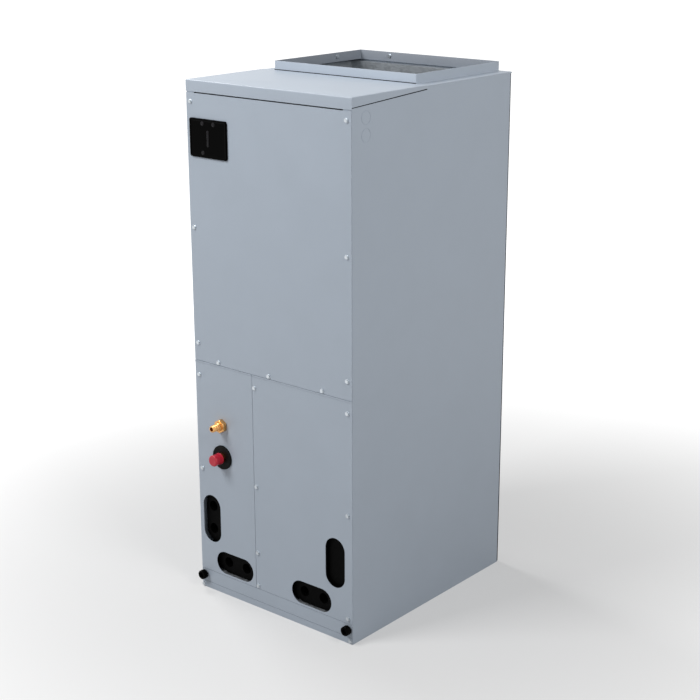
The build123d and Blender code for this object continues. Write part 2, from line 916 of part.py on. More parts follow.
with BuildPart() as return_bends:
    for name, side in sides:
        for y, outward in ((coil_front_y - end_plate, 1), (coil_back_y + end_plate, -1)):
            face = slab_plane(side, y)
            out = face.z_dir * (outward * bend_reach)
            crown = face.z_dir * (outward * (bend_reach + tube_row_spread))
            for index in range(bend_count):
                height = (index - (bend_count - 1) / 2) * tube_pitch
                start = face.from_local_coords((-tube_row_spread, height, 0))
                finish = face.from_local_coords((tube_row_spread, height, 0))
                with BuildLine() as bend_path:
                    Line(start, start + out)
                    ThreePointArc(start + out, (start + finish) / 2 + crown, finish + out)
                    Line(finish + out, finish)
                with BuildSketch(Plane(origin=start, z_dir=out)) as bend_section:
                    Circle(tube_radius)
                sweep(bend_section.sketch, path=bend_path.wire())
save(return_bends, "return_bends")

# Baffle plates that close the front and the back of the space between the slabs
slab_across = coil_thickness / 2 / cos(radians(coil_lean))
inner_foot = coil_foot_spread - slab_across - baffle_clear
inner_head = coil_head_spread - slab_across - baffle_clear
with BuildPart() as coil_baffles:
    for y in (coil_front_y, coil_back_y - sheet):
        with BuildSketch(Plane.XZ.offset(-y)):
            Polygon(
                (-inner_foot, coil_foot_level),
                (inner_foot, coil_foot_level),
                (inner_head, coil_head_level),
                (-inner_head, coil_head_level),
                align=None,
            )
        extrude(amount=-sheet)
save(coil_baffles, "coil_baffles")

# Brass liquid line fitting: a hexagon against the panel, a shoulder and a bored stub
with BuildPart() as liquid_fitting:
    seat = front_plane(0)
    with BuildSketch(seat):
        with Locations((liquid_x, liquid_level)):
            RegularPolygon(hex_across / 2, 6, major_radius=False)
    extrude(amount=hex_height)
    hex_face = liquid_fitting.faces().sort_by(Axis.Y)[0]
    chamfer(hex_face.edges(), 1.2)
    with BuildSketch(seat):
        with Locations((liquid_x, liquid_level)):
            Circle(shoulder_radius)
    extrude(amount=hex_height + shoulder_length)
    with BuildSketch(seat):
        with Locations((liquid_x, liquid_level)):
            Circle(stub_radius)
    extrude(amount=front_reach)
    with BuildSketch(seat):
        with Locations((liquid_x, liquid_level)):
            Circle(liquid_hole_radius - seat_gap)
    extrude(amount=-fitting_tail)
    with BuildSketch(front_plane(-front_reach)):
        with Locations((liquid_x, liquid_level)):
            Circle(stub_bore)
    extrude(amount=-(front_reach + fitting_tail), mode=Mode.SUBTRACT)
save(liquid_fitting, "liquid_fitting")

# Liquid line from the fitting to the distributor, and two feeders to the slabs
line_y = front_y + suction_depth
with BuildPart() as liquid_line:
    with BuildLine() as line_path:
        FilletPolyline(
            (liquid_x, front_y + fitting_tail - 6.0, liquid_level),
            (liquid_x, line_y, liquid_level),
            (distributor_x, line_y, liquid_level),
            radius=line_bend,
        )
    with BuildSketch(Plane(origin=line_path.wire() @ 0, z_dir=(0, 1, 0))) as line_section:
        Circle(line_radius)
    sweep(line_section.sketch, path=line_path.wire())
    with BuildSketch(Plane(origin=(distributor_x, line_y, liquid_level), z_dir=(1, 0, 0))) as cone_foot:
        Circle(line_radius + 1.5)
    with BuildSketch(
        Plane(origin=(distributor_x + distributor_length, line_y, liquid_level), z_dir=(1, 0, 0))
    ) as cone_head:
        Circle(distributor_radius)
    loft(sections=[cone_foot.sketch, cone_head.sketch])
save(liquid_line, "liquid_line")

feeder_share = (feeder_level - coil_foot_level) / (coil_head_level - coil_foot_level)
feeder_x = coil_foot_spread + (coil_head_spread - coil_foot_spread) * feeder_share
feeder_start_x = distributor_x + distributor_length
with BuildPart() as feeder_tubes:
    for side, drop in ((1, 5.0), (-1, -5.0)):
        with BuildLine() as feeder_path:
            FilletPolyline(
                (feeder_start_x, line_y, liquid_level + drop),
                (feeder_start_x + 22.0, line_y, liquid_level + drop),
                (feeder_start_x + 22.0, line_y, feeder_level + drop),
                (side * feeder_x, line_y, feeder_level + drop),
                (side * feeder_x, coil_front_y - end_plate, feeder_level + drop),
                radius=5.5,
            )
        with BuildSketch(Plane(origin=feeder_path.wire() @ 0, z_dir=(1, 0, 0))) as feeder_section:
            Circle(feeder_radius)
        sweep(feeder_section.sketch, path=feeder_path.wire())
save(feeder_tubes, "feeder_tubes")

# Suction line: a copper stub through the grommet, turned down into the coil header
header_stub_levels = (140.0, 160.0)
with BuildPart() as suction_line:
    with BuildLine() as suction_path:
        FilletPolyline(
            (suction_x, front_y - suction_reach, suction_level),
            (suction_x, line_y, suction_level),
            (suction_x, line_y, header_foot_level),
            radius=24.0,
        )
    with BuildSketch(Plane(origin=suction_path.wire() @ 0, z_dir=(0, 1, 0))) as suction_section:
        Circle(suction_radius)
    sweep(suction_section.sketch, path=suction_path.wire())
    with BuildSketch(front_plane(-suction_reach)):
        with Locations((suction_x, suction_level)):
            Circle(suction_radius - suction_wall)
    extrude(amount=-(suction_reach + 10.0), mode=Mode.SUBTRACT)
    for level in header_stub_levels:
        with BuildSketch(Plane(origin=(suction_x, line_y, level), z_dir=(0, 1, 0))):
            Circle(tube_radius)
        extrude(amount=coil_front_y - end_plate - line_y)
save(suction_line, "suction_line")

# Grommet: a rubber ring that grips the panel edge and the suction line
with BuildPart() as grommet:
    with BuildSketch(Plane(origin=(suction_x, front_y, suction_level), x_dir=(1, 0, 0), z_dir=(0, 0, 1))):
        with BuildLine():
            Polyline(
                (suction_radius, -grommet_lip),
                (grommet_radius - 4.0, -grommet_lip),
                (grommet_radius, -1.5),
                (grommet_radius, 0),
                (grommet_groove_radius, 0),
                (grommet_groove_radius, sheet),
                (grommet_radius - 2.0, sheet),
                (grommet_radius - 2.0, sheet + 4.0),
                (suction_radius, sheet + 4.0),
                close=True,
            )
        make_face()
    revolve(axis=Axis((suction_x, front_y, suction_level), (0, 1, 0)))
save(grommet, "suction_grommet")

# Red cap over the end of the suction stub
with BuildPart() as suction_cap:
    cap_radius = suction_radius + cap_clear + cap_wall
    with BuildSketch(front_plane(-cap_reach + cap_length)):
        with Locations((suction_x, suction_level)):
            Circle(cap_radius)
    extrude(amount=cap_length)
    cap_rim = suction_cap.faces().sort_by(Axis.Y)[0].edges()
    fillet(cap_rim, 1.2)
    with BuildSketch(front_plane(-cap_reach + cap_length)):
        with Locations((suction_x, suction_level)):
            Circle(suction_radius + cap_clear)
    extrude(amount=cap_length - (cap_reach - suction_reach - seat_gap), mode=Mode.SUBTRACT)
save(suction_cap, "suction_cap")

# Blower housing, drawn in a plane that faces right: across is depth, up is height
deck_v = deck_level - blower_level
scroll_mid_radius = scroll_start_radius + scroll_step
scroll_end_radius = scroll_start_radius + 2 * scroll_step
scroll_back = scroll_end_radius + scroll_step
tongue_level = scroll_start_radius + tongue_radius


def blower_plane(x):
    return Plane(origin=(x, blower_y, blower_level), x_dir=(0, 1, 0), z_dir=(1, 0, 0))


def scroll_face():
    # Three quarter arcs that widen from the tongue to the outlet, then straight up to the deck.
    with BuildLine() as wrap:
        Line((throat, deck_v), (throat, tongue_level))
        CenterArc((throat - tongue_radius, tongue_level), tongue_radius, 270, 90)
        Line((throat - tongue_radius, scroll_start_radius), (0, scroll_start_radius))
        CenterArc((0, 0), scroll_start_radius, 90, 90)
        CenterArc((scroll_step, 0), scroll_mid_radius, 180, 90)
        CenterArc((scroll_step, scroll_step), scroll_end_radius, 270, 90)
        Line((scroll_back, scroll_step), (scroll_back, deck_v))
        Line((scroll_back, deck_v), (throat, deck_v))
    make_face(wrap.edges())


with BuildPart() as blower_scroll:
    with BuildSketch(blower_plane(-scroll_width / 2)):
        scroll_face()
        offset(amount=-scroll_sheet, mode=Mode.SUBTRACT)
        with Locations(((throat + scroll_back) / 2, deck_v)):
            Rectangle(scroll_back - throat - 2 * scroll_sheet, 3 * scroll_sheet, mode=Mode.SUBTRACT)
    extrude(amount=scroll_width)
save(blower_scroll, "blower_scroll")

for name, side in sides:
    with BuildPart() as blower_side:
        with BuildSketch(blower_plane(side * scroll_width / 2)):
            scroll_face()
            Circle(inlet_radius, mode=Mode.SUBTRACT)
        extrude(amount=side * sheet)
        with BuildSketch(blower_plane(side * (scroll_width / 2 + sheet))):
            Circle(inlet_radius + 6.0)
            Circle(inlet_radius - sheet, mode=Mode.SUBTRACT)
        extrude(amount=side * sheet)
        with BuildSketch(blower_plane(side * (scroll_width / 2 + 2 * sheet))):
            Circle(inlet_radius)
            Circle(inlet_radius - sheet, mode=Mode.SUBTRACT)
        extrude(amount=-side * (inlet_lip + 2 * sheet))
    save(blower_side, f"blower_side_{name}")

# Blower wheel: forward-curved blades between two rings, carried by a hub plate in the middle
blade_inner = wheel_bore_radius + 1.0
blade_outer = wheel_radius - 1.0
with BuildSketch() as blade:
    with BuildLine() as blade_line:
        ThreePointArc(
            (blade_inner, 0),
            ((blade_inner + blade_outer) / 2, -blade_sag),
            (blade_outer * cos(radians(blade_lead)), blade_outer * sin(radians(blade_lead))),
        )
        offset(amount=blade_sheet, side=Side.LEFT)
    make_face()

with BuildPart() as blower_wheel:
    with BuildSketch(blower_plane(-wheel_width / 2)):
        with PolarLocations(0, blade_count):
            add(blade.sketch)
    extrude(amount=wheel_width)
    for x in (-wheel_width / 2, wheel_width / 2 - wheel_ring):
        with BuildSketch(blower_plane(x)):
            Circle(wheel_radius)
            Circle(wheel_bore_radius, mode=Mode.SUBTRACT)
        extrude(amount=wheel_ring)
    with BuildSketch(blower_plane(-hub_plate / 2)):
        Circle(wheel_radius)
    extrude(amount=hub_plate)
    with BuildSketch(blower_plane(-hub_length / 2)):
        Circle(hub_radius)
    extrude(amount=hub_length)
    with BuildSketch(blower_plane(-hub_length / 2)):
        Circle(shaft_radius)
    extrude(amount=hub_length, mode=Mode.SUBTRACT)
save(blower_wheel, "blower_wheel")

shaft_tail = 20.0
with BuildPart() as motor_shaft:
    with BuildSketch(blower_plane(-hub_length / 2 - 1.0)):
        Circle(shaft_radius)
    extrude(amount=hub_length / 2 + 1.0 + motor_start + shaft_tail)
save(motor_shaft, "motor_shaft")

with BuildPart() as motor:
    with BuildSketch(blower_plane(motor_start)):
        Circle(motor_radius)
    extrude(amount=motor_length)
    chamfer(motor.edges().filter_by(GeomType.CIRCLE), motor_cap_step)
    with BuildSketch(blower_plane(motor_start)):
        Circle(shaft_radius + shaft_clear)
    extrude(amount=shaft_tail + 2.0, mode=Mode.SUBTRACT)
save(motor, "motor")

side_face_x = scroll_width / 2 + sheet
band_start = side_face_x + sheet - band_width / 2
with BuildPart() as motor_mount:
    with BuildSketch(blower_plane(band_start)):
        Circle(motor_radius + band_thickness)
        Circle(motor_radius, mode=Mode.SUBTRACT)
    extrude(amount=band_width)
    with BuildSketch(blower_plane(side_face_x + sheet)):
        arm_length = inlet_radius + arm_foot - motor_radius
        with PolarLocations((motor_radius + band_thickness + inlet_radius + arm_foot) / 2, arm_count):
            Rectangle(arm_length - band_thickness + 1.0, arm_width)
        Circle(motor_radius + band_thickness / 2, mode=Mode.SUBTRACT)
    extrude(amount=3.0)
save(motor_mount, "motor_mount")

# Blower deck, from which the blower hangs
deck_back_y = ring_back_y - liner
with BuildPart() as blower_deck:
    box_between((-lined_half, liner_front_y, deck_level), (lined_half, deck_back_y, deck_level + sheet))
    box_between((-return_x, frame_y, deck_level), (return_x, liner_front_y, deck_level + sheet))
    box_between((-return_x, frame_y, deck_level), (return_x, frame_y + sheet, deck_level + deck_rail))
    box_between(
        (-scroll_width / 2, blower_y + throat + scroll_sheet, deck_level),
        (scroll_width / 2, blower_y + scroll_back - scroll_sheet, deck_level + sheet),
        Mode.SUBTRACT,
    )
save(blower_deck, "blower_deck")

# Partition between the controls and the supply air, with its heater opening
deck_top = deck_level + sheet
heater_bottom = deck_top + heater_opening_rise
heater_half = heater_opening_width / 2
with BuildPart() as partition:
    box_between((-lined_half, partition_y, deck_top), (lined_half, partition_y + sheet, top_sheet_z))
    box_between(
        (-heater_half, partition_y, heater_bottom),
        (heater_half, partition_y + sheet, heater_bottom + heater_opening_height),
        Mode.SUBTRACT,
    )
save(partition, "plenum_partition")

with BuildPart() as heater_plate:
    box_between(
        (-heater_half - heater_plate_lip, partition_y - sheet, heater_bottom - heater_plate_lip),
        (
            heater_half + heater_plate_lip,
            partition_y,
            heater_bottom + heater_opening_height + heater_plate_lip,
        ),
    )
save(heater_plate, "heater_blank_plate")

# Control box on the partition, with the board, the transformer and the terminal block in it
control_box_width = (
    board_inset
    + board_width
    + component_gap
    + transformer_width
    + terminal_gap
    + terminal_width
    + box_end_gap
    + bracket_sheet
)
box_right = lined_half - control_box_side_gap
control_box_left = box_right - control_box_width
control_box_bottom = cabinet_height - control_box_drop
box_front_y = partition_y - control_box_depth
box_top = control_box_bottom + control_box_height
box_mid = (control_box_bottom + box_top) / 2
box_floor_y = partition_y - bracket_sheet
with BuildPart() as control_box:
    box_between(
        (control_box_left, box_front_y, control_box_bottom),
        (box_right, partition_y, box_top),
    )
    box_between(
        (control_box_left + bracket_sheet, box_front_y, control_box_bottom + bracket_sheet),
        (box_right - bracket_sheet, box_floor_y, box_top - bracket_sheet),
        Mode.SUBTRACT,
    )
save(control_box, "control_box")

board_x = control_box_left + board_inset + board_width / 2
with BuildPart() as control_board:
    board_y = box_floor_y - post_height
    box_between(
        (board_x - board_width / 2, board_y - board_thickness, box_mid - board_height / 2),
        (board_x + board_width / 2, board_y, box_mid + board_height / 2),
    )
    with BuildSketch(Plane.XZ.offset(-board_y)):
        with Locations((board_x, box_mid)):
            with GridLocations(board_width - 12.0, board_height - 12.0, 2, 2):
                Circle(3.0)
    extrude(amount=-post_height)
    for x, z, width, height, depth in (
        (-34.0, 22.0, 28.0, 16.0, 14.0),
        (4.0, 22.0, 28.0, 16.0, 14.0),
        (-30.0, -20.0, 40.0, 10.0, 11.0),
        (28.0, -14.0, 14.0, 30.0, 9.0),
    ):
        box_between(
            (board_x + x - width / 2, board_y - board_thickness - depth, box_mid + z - height / 2),
            (board_x + x + width / 2, board_y - board_thickness, box_mid + z + height / 2),
        )
save(control_board, "control_board")

transformer_x = board_x + board_width / 2 + component_gap + transformer_width / 2
core_front_y = box_floor_y - transformer_depth
with BuildPart() as transformer:
    box_between(
        (transformer_x - transformer_width / 2, box_floor_y - 3.0, box_mid - transformer_height / 2),
        (transformer_x + transformer_width / 2, box_floor_y, box_mid + transformer_height / 2),
    )
    box_between(
        (transformer_x - 24.0, core_front_y, box_mid - transformer_height / 2 + 4.0),
        (transformer_x + 24.0, box_floor_y - 3.0, box_mid + transformer_height / 2 - 4.0),
    )
    box_between(
        (transformer_x - 15.0, core_front_y + 6.0, box_mid - transformer_height / 2 - 4.0),
        (transformer_x + 15.0, box_floor_y - 9.0, box_mid + transformer_height / 2 + 4.0),
    )
save(transformer, "transformer")

terminal_x = box_right - bracket_sheet - box_end_gap - terminal_width / 2
with BuildPart() as terminal_block:
    box_between(
        (terminal_x - terminal_width / 2, box_floor_y - terminal_depth, box_mid - terminal_height / 2),
        (terminal_x + terminal_width / 2, box_floor_y, box_mid + terminal_height / 2),
    )
    with BuildSketch(Plane.XZ.offset(-(box_floor_y - terminal_depth))):
        with Locations((terminal_x, box_mid)):
            with GridLocations(12.0, 14.0, 6, 2):
                Circle(4.0)
    extrude(amount=-7.0, mode=Mode.SUBTRACT)
save(terminal_block, "terminal_block")

with BuildPart() as capacitor:
    with BuildSketch(Plane.XY.offset(deck_top)):
        with Locations((capacitor_x, front_y + capacitor_from_front)):
            Circle(capacitor_radius)
    extrude(amount=capacitor_length)
    chamfer(capacitor.edges().filter_by(GeomType.CIRCLE), 2.0)
save(capacitor, "capacitor")

# Circuit breaker behind the black cover, on a shelf from the partition
breaker_y = front_y + breaker_setback
breaker_bottom = power_cover_z - breaker_height / 2
with BuildPart() as breaker_shelf:
    shelf_half = breaker_width / 2 + 6.0
    box_between(
        (power_cover_x - shelf_half, breaker_y, breaker_bottom - bracket_sheet),
        (power_cover_x + shelf_half, partition_y, breaker_bottom),
    )
    box_between(
        (power_cover_x - shelf_half, partition_y - bracket_sheet, breaker_bottom - 24.0),
        (power_cover_x + shelf_half, partition_y, breaker_bottom),
    )
save(breaker_shelf, "breaker_shelf")

with BuildPart() as breaker:
    box_between(
        (power_cover_x - breaker_width / 2, breaker_y + 4.0, breaker_bottom),
        (power_cover_x + breaker_width / 2, breaker_y + breaker_depth, breaker_bottom + breaker_height),
    )
    box_between(
        (power_cover_x - 12.0, breaker_y, power_cover_z - 5.0),
        (power_cover_x + 12.0, breaker_y + 4.0, power_cover_z + 5.0),
    )
save(breaker, "circuit_breaker")

# Black cover over the breaker: a rimmed plate with a grip rib and a plug that fits the panel
with BuildPart() as power_cover:
    cover_back_y = front_y - seat_gap
    cover_face_y = front_y - power_cover_proud
    plug_gap = 2 * seat_gap
    box_between(
        (power_cover_x - power_cover_width / 2, cover_face_y, power_cover_bottom),
        (power_cover_x + power_cover_width / 2, cover_back_y, power_cover_bottom + power_cover_height),
    )
    fillet(power_cover.edges().filter_by(Axis.Y), 2.0)
    front_rim = power_cover.faces().sort_by(Axis.Y)[0].edges()
    fillet(front_rim, 0.8)
    field_half_width = power_cover_width / 2 - power_cover_rim
    field_half_height = power_cover_height / 2 - power_cover_rim
    box_between(
        (power_cover_x - field_half_width, cover_face_y, power_cover_z - field_half_height),
        (power_cover_x + field_half_width, cover_face_y + field_recess, power_cover_z + field_half_height),
        Mode.SUBTRACT,
    )
    box_between(
        (power_cover_x - rib_width / 2, cover_face_y - rib_proud, power_cover_z - rib_height / 2),
        (power_cover_x + rib_width / 2, cover_face_y + field_recess, power_cover_z + rib_height / 2),
    )
    with BuildSketch(front_plane(field_recess - power_cover_proud)):
        with Locations((power_cover_x - 16.0, power_cover_z + 30.0), (power_cover_x + 17.0, power_cover_z + 30.0)):
            Circle(pad_radius)
        with Locations((power_cover_x - 20.0, power_cover_z - 30.0)):
            Rectangle(16.0, 5.0)
    extrude(amount=pad_proud)
    box_between(
        (power_cover_x - plug_half_width + plug_gap, cover_back_y, power_cover_z - plug_half_height + plug_gap),
        (
            power_cover_x + plug_half_width - plug_gap,
            cover_back_y + power_cover_plug,
            power_cover_z + plug_half_height - plug_gap,
        ),
    )
    box_between(
        (power_cover_x - plug_half_width + 3.0, cover_back_y, power_cover_z - plug_half_height + 3.0),
        (
            power_cover_x + plug_half_width - 3.0,
            cover_back_y + power_cover_plug,
            power_cover_z + plug_half_height - 3.0,
        ),
        Mode.SUBTRACT,
    )
save(power_cover, "power_cover")
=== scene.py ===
"""An upright air handler: finishes, fittings, fin packs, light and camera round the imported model.

Every length in the classes is in millimetres, and is turned to metres where a mesh is made.
"""

import logging
import math
from collections.abc import Callable
from dataclasses import dataclass
from enum import Enum

import bmesh
import bpy
import numpy as np
from mathutils import Matrix, Vector


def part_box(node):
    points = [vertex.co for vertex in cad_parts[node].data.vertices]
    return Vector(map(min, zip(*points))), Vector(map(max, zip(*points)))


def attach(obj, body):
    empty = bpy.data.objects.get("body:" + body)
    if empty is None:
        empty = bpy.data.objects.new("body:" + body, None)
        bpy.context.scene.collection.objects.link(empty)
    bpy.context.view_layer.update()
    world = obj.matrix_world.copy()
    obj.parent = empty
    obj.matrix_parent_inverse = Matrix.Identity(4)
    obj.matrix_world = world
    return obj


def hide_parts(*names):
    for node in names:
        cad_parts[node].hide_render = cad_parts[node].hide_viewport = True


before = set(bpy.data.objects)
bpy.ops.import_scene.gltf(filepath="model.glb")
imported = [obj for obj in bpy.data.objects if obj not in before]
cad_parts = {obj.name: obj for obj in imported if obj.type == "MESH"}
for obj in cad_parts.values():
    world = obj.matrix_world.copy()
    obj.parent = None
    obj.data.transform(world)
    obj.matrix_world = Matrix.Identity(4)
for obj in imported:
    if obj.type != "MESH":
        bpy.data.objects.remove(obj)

LOG = logging.getLogger("air_handler")
MM = 0.001
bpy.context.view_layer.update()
FORWARD = (0.0, -1.0, 0.0)

Place = tuple[float, float, float]
RadiusRule = Callable[[np.ndarray, np.ndarray, np.ndarray], np.ndarray]


# Colour and node helpers


def linear(colour: str) -> Place:
    """Turns an sRGB hex colour to linear red, green and blue.

    Args:
        colour: six hex digits after a hash sign.

    Returns:
        The three channels, each from 0 to 1.
    """
    channels = np.array([int(colour[i : i + 2], 16) for i in (1, 3, 5)]) / 255
    low, high = channels / 12.92, ((channels + 0.055) / 1.055) ** 2.4
    return tuple(np.where(channels <= 0.04045, low, high))


def add_node(
    tree: bpy.types.NodeTree, kind: str, settings: dict | None = None, links: dict | None = None
) -> bpy.types.Node:
    """Adds one node to a tree.

    Args:
        tree: the node tree.
        kind: the node's type.
        settings: attributes of the node, or values of its inputs by name or number.
        links: the sockets that feed its inputs, by name or number.

    Returns:
        The new node.
    """
    node = tree.nodes.new(kind)
    for key, value in (settings or {}).items():
        if isinstance(key, str) and hasattr(node, key):
            setattr(node, key, value)
        else:
            node.inputs[key].default_value = value
    for key, socket in (links or {}).items():
        tree.links.new(socket, node.inputs[key])
    return node


def either(
    tree: bpy.types.NodeTree, first: bpy.types.NodeSocket, second: bpy.types.NodeSocket
) -> bpy.types.NodeSocket:
    """Gives the greater of two sockets, which is one where either of them is one.

    Args:
        tree: the node tree.
        first: one socket.
        second: the other socket.

    Returns:
        The socket that carries the greater value.
    """
    greater = add_node(tree, "ShaderNodeMath", {"operation": "MAXIMUM"}, {0: first, 1: second})
    return greater.outputs[0]


# Finishes

# The part of a pattern's values that nearly all of it lies in.
PATTERN_SPAN = {"From Min": 0.25, "From Max": 0.75}
# No real surface here is smoother than this.
LEAST_ROUGHNESS = 0.02


class Pattern(Enum):
    """How a surface varies from place to place."""

    CLOUDED = "clouded"
    SPANGLED = "spangled"
    GRAINED = "grained"
    FIBROUS = "fibrous"
    DRAWN = "drawn"


@dataclass(frozen=True)
class Finish:
    """One real material and how its surface was made.

    Attributes:
        name: the material's name.
        colour: its sRGB colour in hex.
        roughness: 0 for a mirror, 1 for chalk.
        metallic: 1 for bare metal, 0 for paint, plastic and cloth.
        pattern: how it varies.
        cell: size of the pattern's cells in millimetres.
        tone: share by which the pattern lightens and darkens the colour.
        relief: height of the pattern in millimetres.
        stretch: how far the pattern is drawn out along X, Y and Z.
        gloss: specular level; half is plain plastic or paint, less is a surface that drinks light.
    """

    name: str
    colour: str
    roughness: float
    metallic: float = 0.0
    pattern: Pattern = Pattern.GRAINED
    cell: float = 1.0
    tone: float = 0.03
    relief: float = 0.0
    stretch: Place = (1.0, 1.0, 1.0)
    gloss: float = 0.5

    def pattern_socket(self, tree: bpy.types.NodeTree) -> bpy.types.NodeSocket:
        """Adds the pattern in the object's own space, from 0 to 1.

        Args:
            tree: the material's node tree.

        Returns:
            The socket that carries the pattern.
        """
        coordinates = add_node(tree, "ShaderNodeTexCoord").outputs["Object"]
        squeezed = tuple(1 / share for share in self.stretch)
        mapping = add_node(
            tree, "ShaderNodeMapping", {"Scale": squeezed}, {"Vector": coordinates}
        ).outputs["Vector"]
        scale = 1 / (self.cell * MM)
        if self.pattern is Pattern.SPANGLED:
            cells = add_node(tree, "ShaderNodeTexVoronoi", {"Scale": scale}, {"Vector": mapping})
            return add_node(
                tree, "ShaderNodeSeparateColor", links={"Color": cells.outputs["Color"]}
            ).outputs["Red"]
        detail = {Pattern.CLOUDED: 5.0, Pattern.FIBROUS: 8.0}.get(self.pattern, 2.0)
        twist = 1.5 if self.pattern is Pattern.FIBROUS else 0.0
        return add_node(
            tree,
            "ShaderNodeTexNoise",
            {"Scale": scale, "Detail": detail, "Distortion": twist},
            {"Vector": mapping},
        ).outputs["Fac"]

    def material(self) -> bpy.types.Material:
        """Makes the material, or gives the one that was made before.

        Returns:
            The material.
        """
        made = bpy.data.materials.get(self.name)
        if made:
            return made
        made = bpy.data.materials.new(self.name)
        made.use_nodes = True
        tree = made.node_tree
        shader = tree.nodes["Principled BSDF"]
        shader.inputs["Metallic"].default_value = self.metallic
        shader.inputs["Specular IOR Level"].default_value = self.gloss
        pattern = self.pattern_socket(tree)
        tone = add_node(
            tree,
            "ShaderNodeMapRange",
            {**PATTERN_SPAN, "To Min": 1 - self.tone, "To Max": 1 + self.tone},
            {"Value": pattern},
        ).outputs["Result"]
        colour = add_node(
            tree, "ShaderNodeVectorMath", {"operation": "SCALE", 0: linear(self.colour)}, {"Scale": tone}
        ).outputs["Vector"]
        smoothest = max(LEAST_ROUGHNESS, self.roughness - self.tone)
        roughest = min(1.0, self.roughness + self.tone)
        roughness = add_node(
            tree,
            "ShaderNodeMapRange",
            {**PATTERN_SPAN, "To Min": smoothest, "To Max": roughest},
            {"Value": pattern},
        ).outputs["Result"]
        tree.links.new(colour, shader.inputs["Base Color"])
        tree.links.new(roughness, shader.inputs["Roughness"])
        if self.relief:
            bump = add_node(
                tree,
                "ShaderNodeBump",
                {"Strength": 1.0, "Distance": self.relief * MM},
                {"Height": pattern},
            )
            tree.links.new(bump.outputs["Normal"], shader.inputs["Normal"])
        return made


# Coil-coated cabinet sheet: an even satin blue grey with a very slow cloud in it.
CABINET_SHEET = Finish("prepainted_steel_sheet", "#A6B0BC", 0.42, 0.0, Pattern.CLOUDED, 90.0, 0.02)
# Backer coat on the sheet's inner face: thinner and darker, with less shine, and darkened further to paint
# the shade inside the collar.
BACKER_COAT_AND_PAINTED_SHADE = Finish("backer_coat_with_painted_collar_shade", "#838A94", 0.55, 0.0, Pattern.CLOUDED, 60.0, 0.05)
# Hot-dip zinc on inner sheet: small crystals, each one its own grey.
ZINC_SHEET = Finish("hot_dip_galvanised_steel", "#A9AEB4", 0.38, 0.75, Pattern.SPANGLED, 7.0, 0.10)
# Plated screw heads, a little brighter than the sheet they hold.
ZINC_SCREW = Finish("zinc_plated_steel", "#BFC5CA", 0.34, 0.9, Pattern.GRAINED, 0.8, 0.04)
# Foil laid over glass fibre: dull silver that follows every tuft below it.
GLASS_FIBRE = Finish("foil_faced_glass_fibre", "#9EA3A8", 0.42, 0.65, Pattern.FIBROUS, 14.0, 0.1, 0.9)
# Injection moulded ABS pan: black, with the fine pebble of the mould.
PAN_PLASTIC = Finish("moulded_black_abs", "#040404", 0.5, 0.0, Pattern.GRAINED, 1.2, 0.1, 0.03, gloss=0.03)
# Polished mould faces on the cover and knobs give a wet black.
GLOSS_PLASTIC = Finish("polished_black_abs", "#030303", 0.22, 0.0, Pattern.GRAINED, 30.0, 0.04, gloss=0.02)
# The same plastic, lightened to paint the highlights and glints on the rib and pads: greyer and a little
# duller.
PAINTED_GLINT_PLASTIC = Finish("black_abs_lightened_for_painted_glints", "#1D1C1E", 0.34, 0.0, Pattern.CLOUDED, 6.0, 0.25, gloss=0.08)
# Dark strips in the sheet joints that paint the shadow lines there: black, rough, take no light.
PAINTED_SHADOW_LINE = Finish("dark_strip_painting_joint_shadows", "#1D2024", 0.9, 0.0, Pattern.FIBROUS, 5.0, 0.35, gloss=0.05)
# Soft vinyl transit cap: saturated red with a waxy skin.
RED_VINYL = Finish("dipped_red_vinyl", "#B3122C", 0.34, 0.0, Pattern.CLOUDED, 12.0, 0.06, 0.05)
# Moulded EPDM: near black, dull, with a bloom.
RUBBER = Finish("moulded_epdm_rubber", "#080808", 0.6, 0.0, Pattern.CLOUDED, 10.0, 0.2, 0.04, gloss=0.1)
# Drawn copper tube, lightly tarnished along the draw.
COPPER = Finish("drawn_copper_tube", "#B8704A", 0.3, 1.0, Pattern.DRAWN, 6.0, 0.12)
# Turned free-cutting brass: warm yellow, a little dulled, with fine tool marks.
BRASS = Finish("turned_brass", "#D6A468", 0.34, 1.0, Pattern.DRAWN, 2.0, 0.12)
# Stamped aluminium fin stock, bright along its edges.
FIN_STOCK = Finish("rolled_aluminium_fin_stock", "#C9CCCE", 0.35, 0.9, Pattern.DRAWN, 4.0, 0.08)
# Rolled wheel strip, galvanised before it was stamped.
WHEEL_STRIP = Finish("galvanised_wheel_strip", "#A2A6AB", 0.36, 0.85, Pattern.SPANGLED, 4.0, 0.10)
# Motor shell, dip painted black over steel.
MOTOR_PAINT = Finish("dip_painted_motor_shell", "#1B1C1E", 0.38, 0.0, Pattern.CLOUDED, 20.0, 0.10, 0.03)
# Pressed beverage board of the filter's frame: flat cream, with a paper tooth.
CARD = Finish("pressed_filter_card", "#D9D2BE", 0.85, 0.0, Pattern.FIBROUS, 3.0, 0.05, 0.08)
# Spun polyester medium: white, matted, no gloss.
FILTER_CLOTH = Finish("spun_polyester_medium", "#E4E6E6", 0.95, 0.0, Pattern.FIBROUS, 2.5, 0.06, 0.3)
# Solder mask over glass epoxy: even green gloss.
CIRCUIT_BOARD = Finish("green_solder_mask", "#1F5A38", 0.3, 0.0, Pattern.CLOUDED, 15.0, 0.08)
# Varnished laminations: dark grey, striped across the stack.
LAMINATION = Finish("varnished_laminations", "#4A4A4E", 0.4, 0.6, Pattern.DRAWN, 1.5, 0.2, 0.1)

